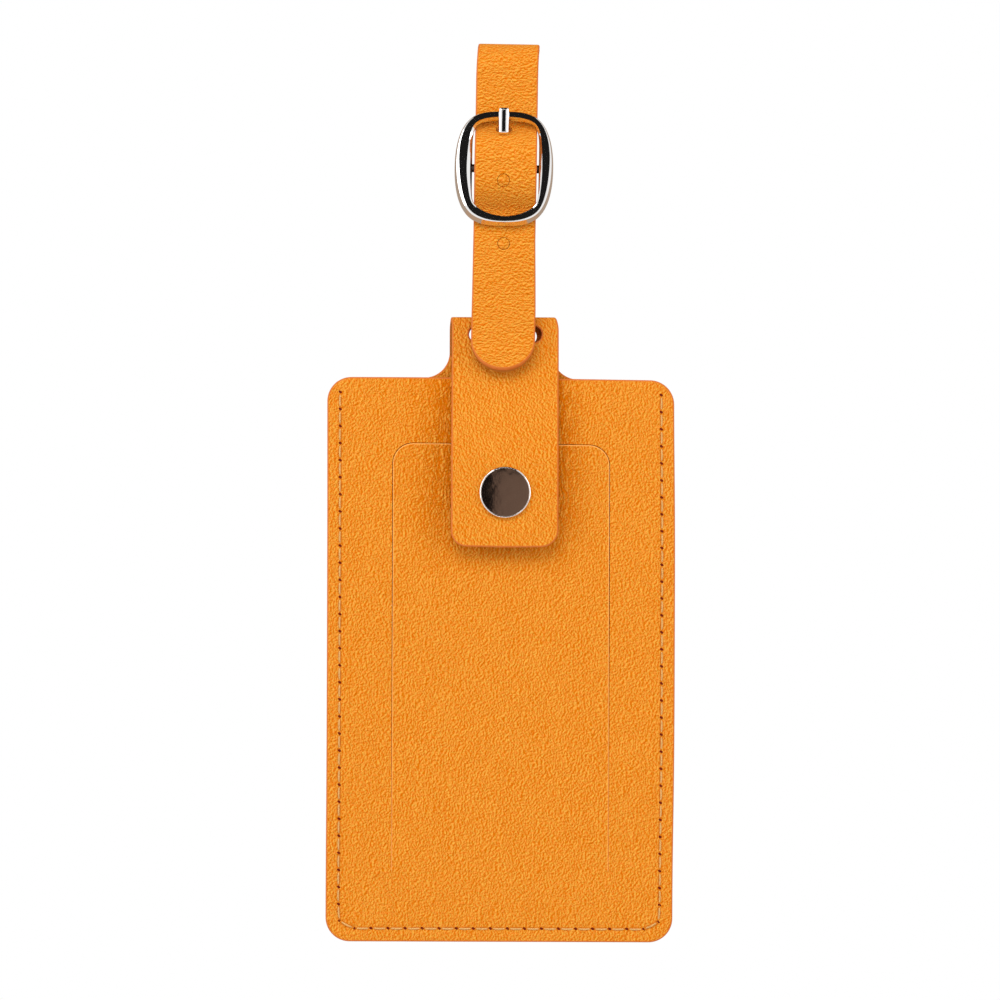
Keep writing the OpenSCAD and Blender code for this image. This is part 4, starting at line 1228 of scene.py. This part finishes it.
# ---- Studio -------------------------------------------------------------------------------------
# The tag hangs in a white surround over a pale floor, in the light of three softboxes. Dark and brown cards
# that glow in their own colour stand round it, and only its metal sees them, as painted reflections.
VIEW_WIDTH, VIEW_DISTANCE, VIEW_ROLL, SENSOR = 0.1994, 0.60, 0.20, 36.0
SURROUND_LIGHT, TAG_MIDDLE = 0.60, (0, 0, -0.085)
CARD_BLACK = (0.012, 0.011, 0.011, 1)
aim = drawing @ Vector((-0.07, FRONT_Y, 88.16))

surround = bpy.data.worlds.new("white_surround")
scene.world = surround
surround.use_nodes = True
tree = surround.node_tree
sky = tree.nodes["Background"]
path = wire(tree, "ShaderNodeLightPath")
seen = maths(tree, "MAXIMUM", path.outputs["Is Camera Ray"],
             maths(tree, "MAXIMUM", path.outputs["Is Glossy Ray"],
                   path.outputs["Is Transmission Ray"]))
strength = maths(tree, "MULTIPLY_ADD", seen, 1 - SURROUND_LIGHT, SURROUND_LIGHT)
feed(tree, sky, {"Color": (1, 1, 1, 1), "Strength": strength})


def softbox(name, place, size, power):
    """A rectangular lamp that faces the tag."""
    data = bpy.data.lights.new(name, "AREA")
    data.shape = "RECTANGLE"
    data.size, data.size_y = size
    data.energy = power
    made = bpy.data.objects.new(name, data)
    scene.collection.objects.link(made)
    made.location = place
    towards = Vector(TAG_MIDDLE) - Vector(place)
    made.rotation_euler = towards.to_track_quat("-Z", "Y").to_euler()


softbox("softbox_above", (-0.10, -0.55, 0.40), (0.55, 0.35), 2.4)
softbox("softbox_right", (0.62, -0.38, 0.05), (0.3, 0.6), 1.5)
softbox("softbox_left", (-0.62, -0.38, 0.05), (0.3, 0.6), 1.15)

floor_shape = bmesh.new()
bmesh.ops.create_circle(floor_shape, cap_ends=True, segments=96, radius=0.34)
bmesh.ops.translate(floor_shape, verts=floor_shape.verts[:], vec=(0, 0.05, -0.29))
floor_look, tree, floor_paint = look_of("pale_floor")
feed(tree, floor_paint, {"Base Color": (0.86, 0.86, 0.86, 1), "Roughness": 0.8})
floor_piece = place_piece(floor_shape, "floor", Matrix(), [floor_look], smooth=False)


def mirror_card(name, middle, size, tilt, colour):
    """A card that glows in its colour and that only mirrors see, as a painted reflection, and that is white
    behind.
    """
    shape = bmesh.new()
    bmesh.ops.create_grid(shape, x_segments=1, y_segments=1, size=0.5,
                          matrix=Matrix.Translation(middle)
                          @ Matrix.Rotation(math.radians(tilt), 4, "X")
                          @ Matrix.Diagonal((*size, 1, 1)))
    look, tree, shader = look_of(name)
    tree.nodes.remove(shader)
    faced = wire(tree, "ShaderNodeNewGeometry").outputs["Backfacing"]
    glow = wire(tree, "ShaderNodeEmission", {"Color": mixed(tree, faced, colour, (1, 1, 1, 1))})
    tree.links.new(glow.outputs[0], tree.nodes["Material Output"].inputs[0])
    card = place_piece(shape, name, Matrix(), [look], smooth=False)
    card.visible_camera = card.visible_diffuse = card.visible_shadow = False
    card.visible_transmission = False


mirror_card("dark_wall", (0, -0.92, 0), (0.40, 1.24), -90, CARD_BLACK)
mirror_card("brown_glow_card", (0.1525, -0.90, -0.175), (0.375, 0.35), -90, (0.28, 0.21, 0.17, 1))
mirror_card("dark_ceiling", (0, -0.42, 0.30), (0.40, 1.0), 180, CARD_BLACK)
mirror_card("floor_glow_card", (0, 0.10, -0.285), (1.2, 0.34), 0, (0.50, 0.33, 0.22, 1))
mirror_card("rear_glow_card", (0, 0.11, 0.08), (1.2, 0.74), 90, (0.46, 0.35, 0.27, 1))

camera_data = bpy.data.cameras.new("camera")
camera_data.sensor_width = SENSOR
camera_data.lens = SENSOR * VIEW_DISTANCE / VIEW_WIDTH
camera = bpy.data.objects.new("camera", camera_data)
scene.collection.objects.link(camera)
camera.matrix_world = (Matrix.Translation(aim + Vector((0, -VIEW_DISTANCE, 0)))
                       @ Matrix.Rotation(math.pi / 2, 4, "X")
                       @ Matrix.Rotation(math.radians(VIEW_ROLL), 4, "Z"))
scene.camera = camera
scene.view_settings.view_transform = "Standard"
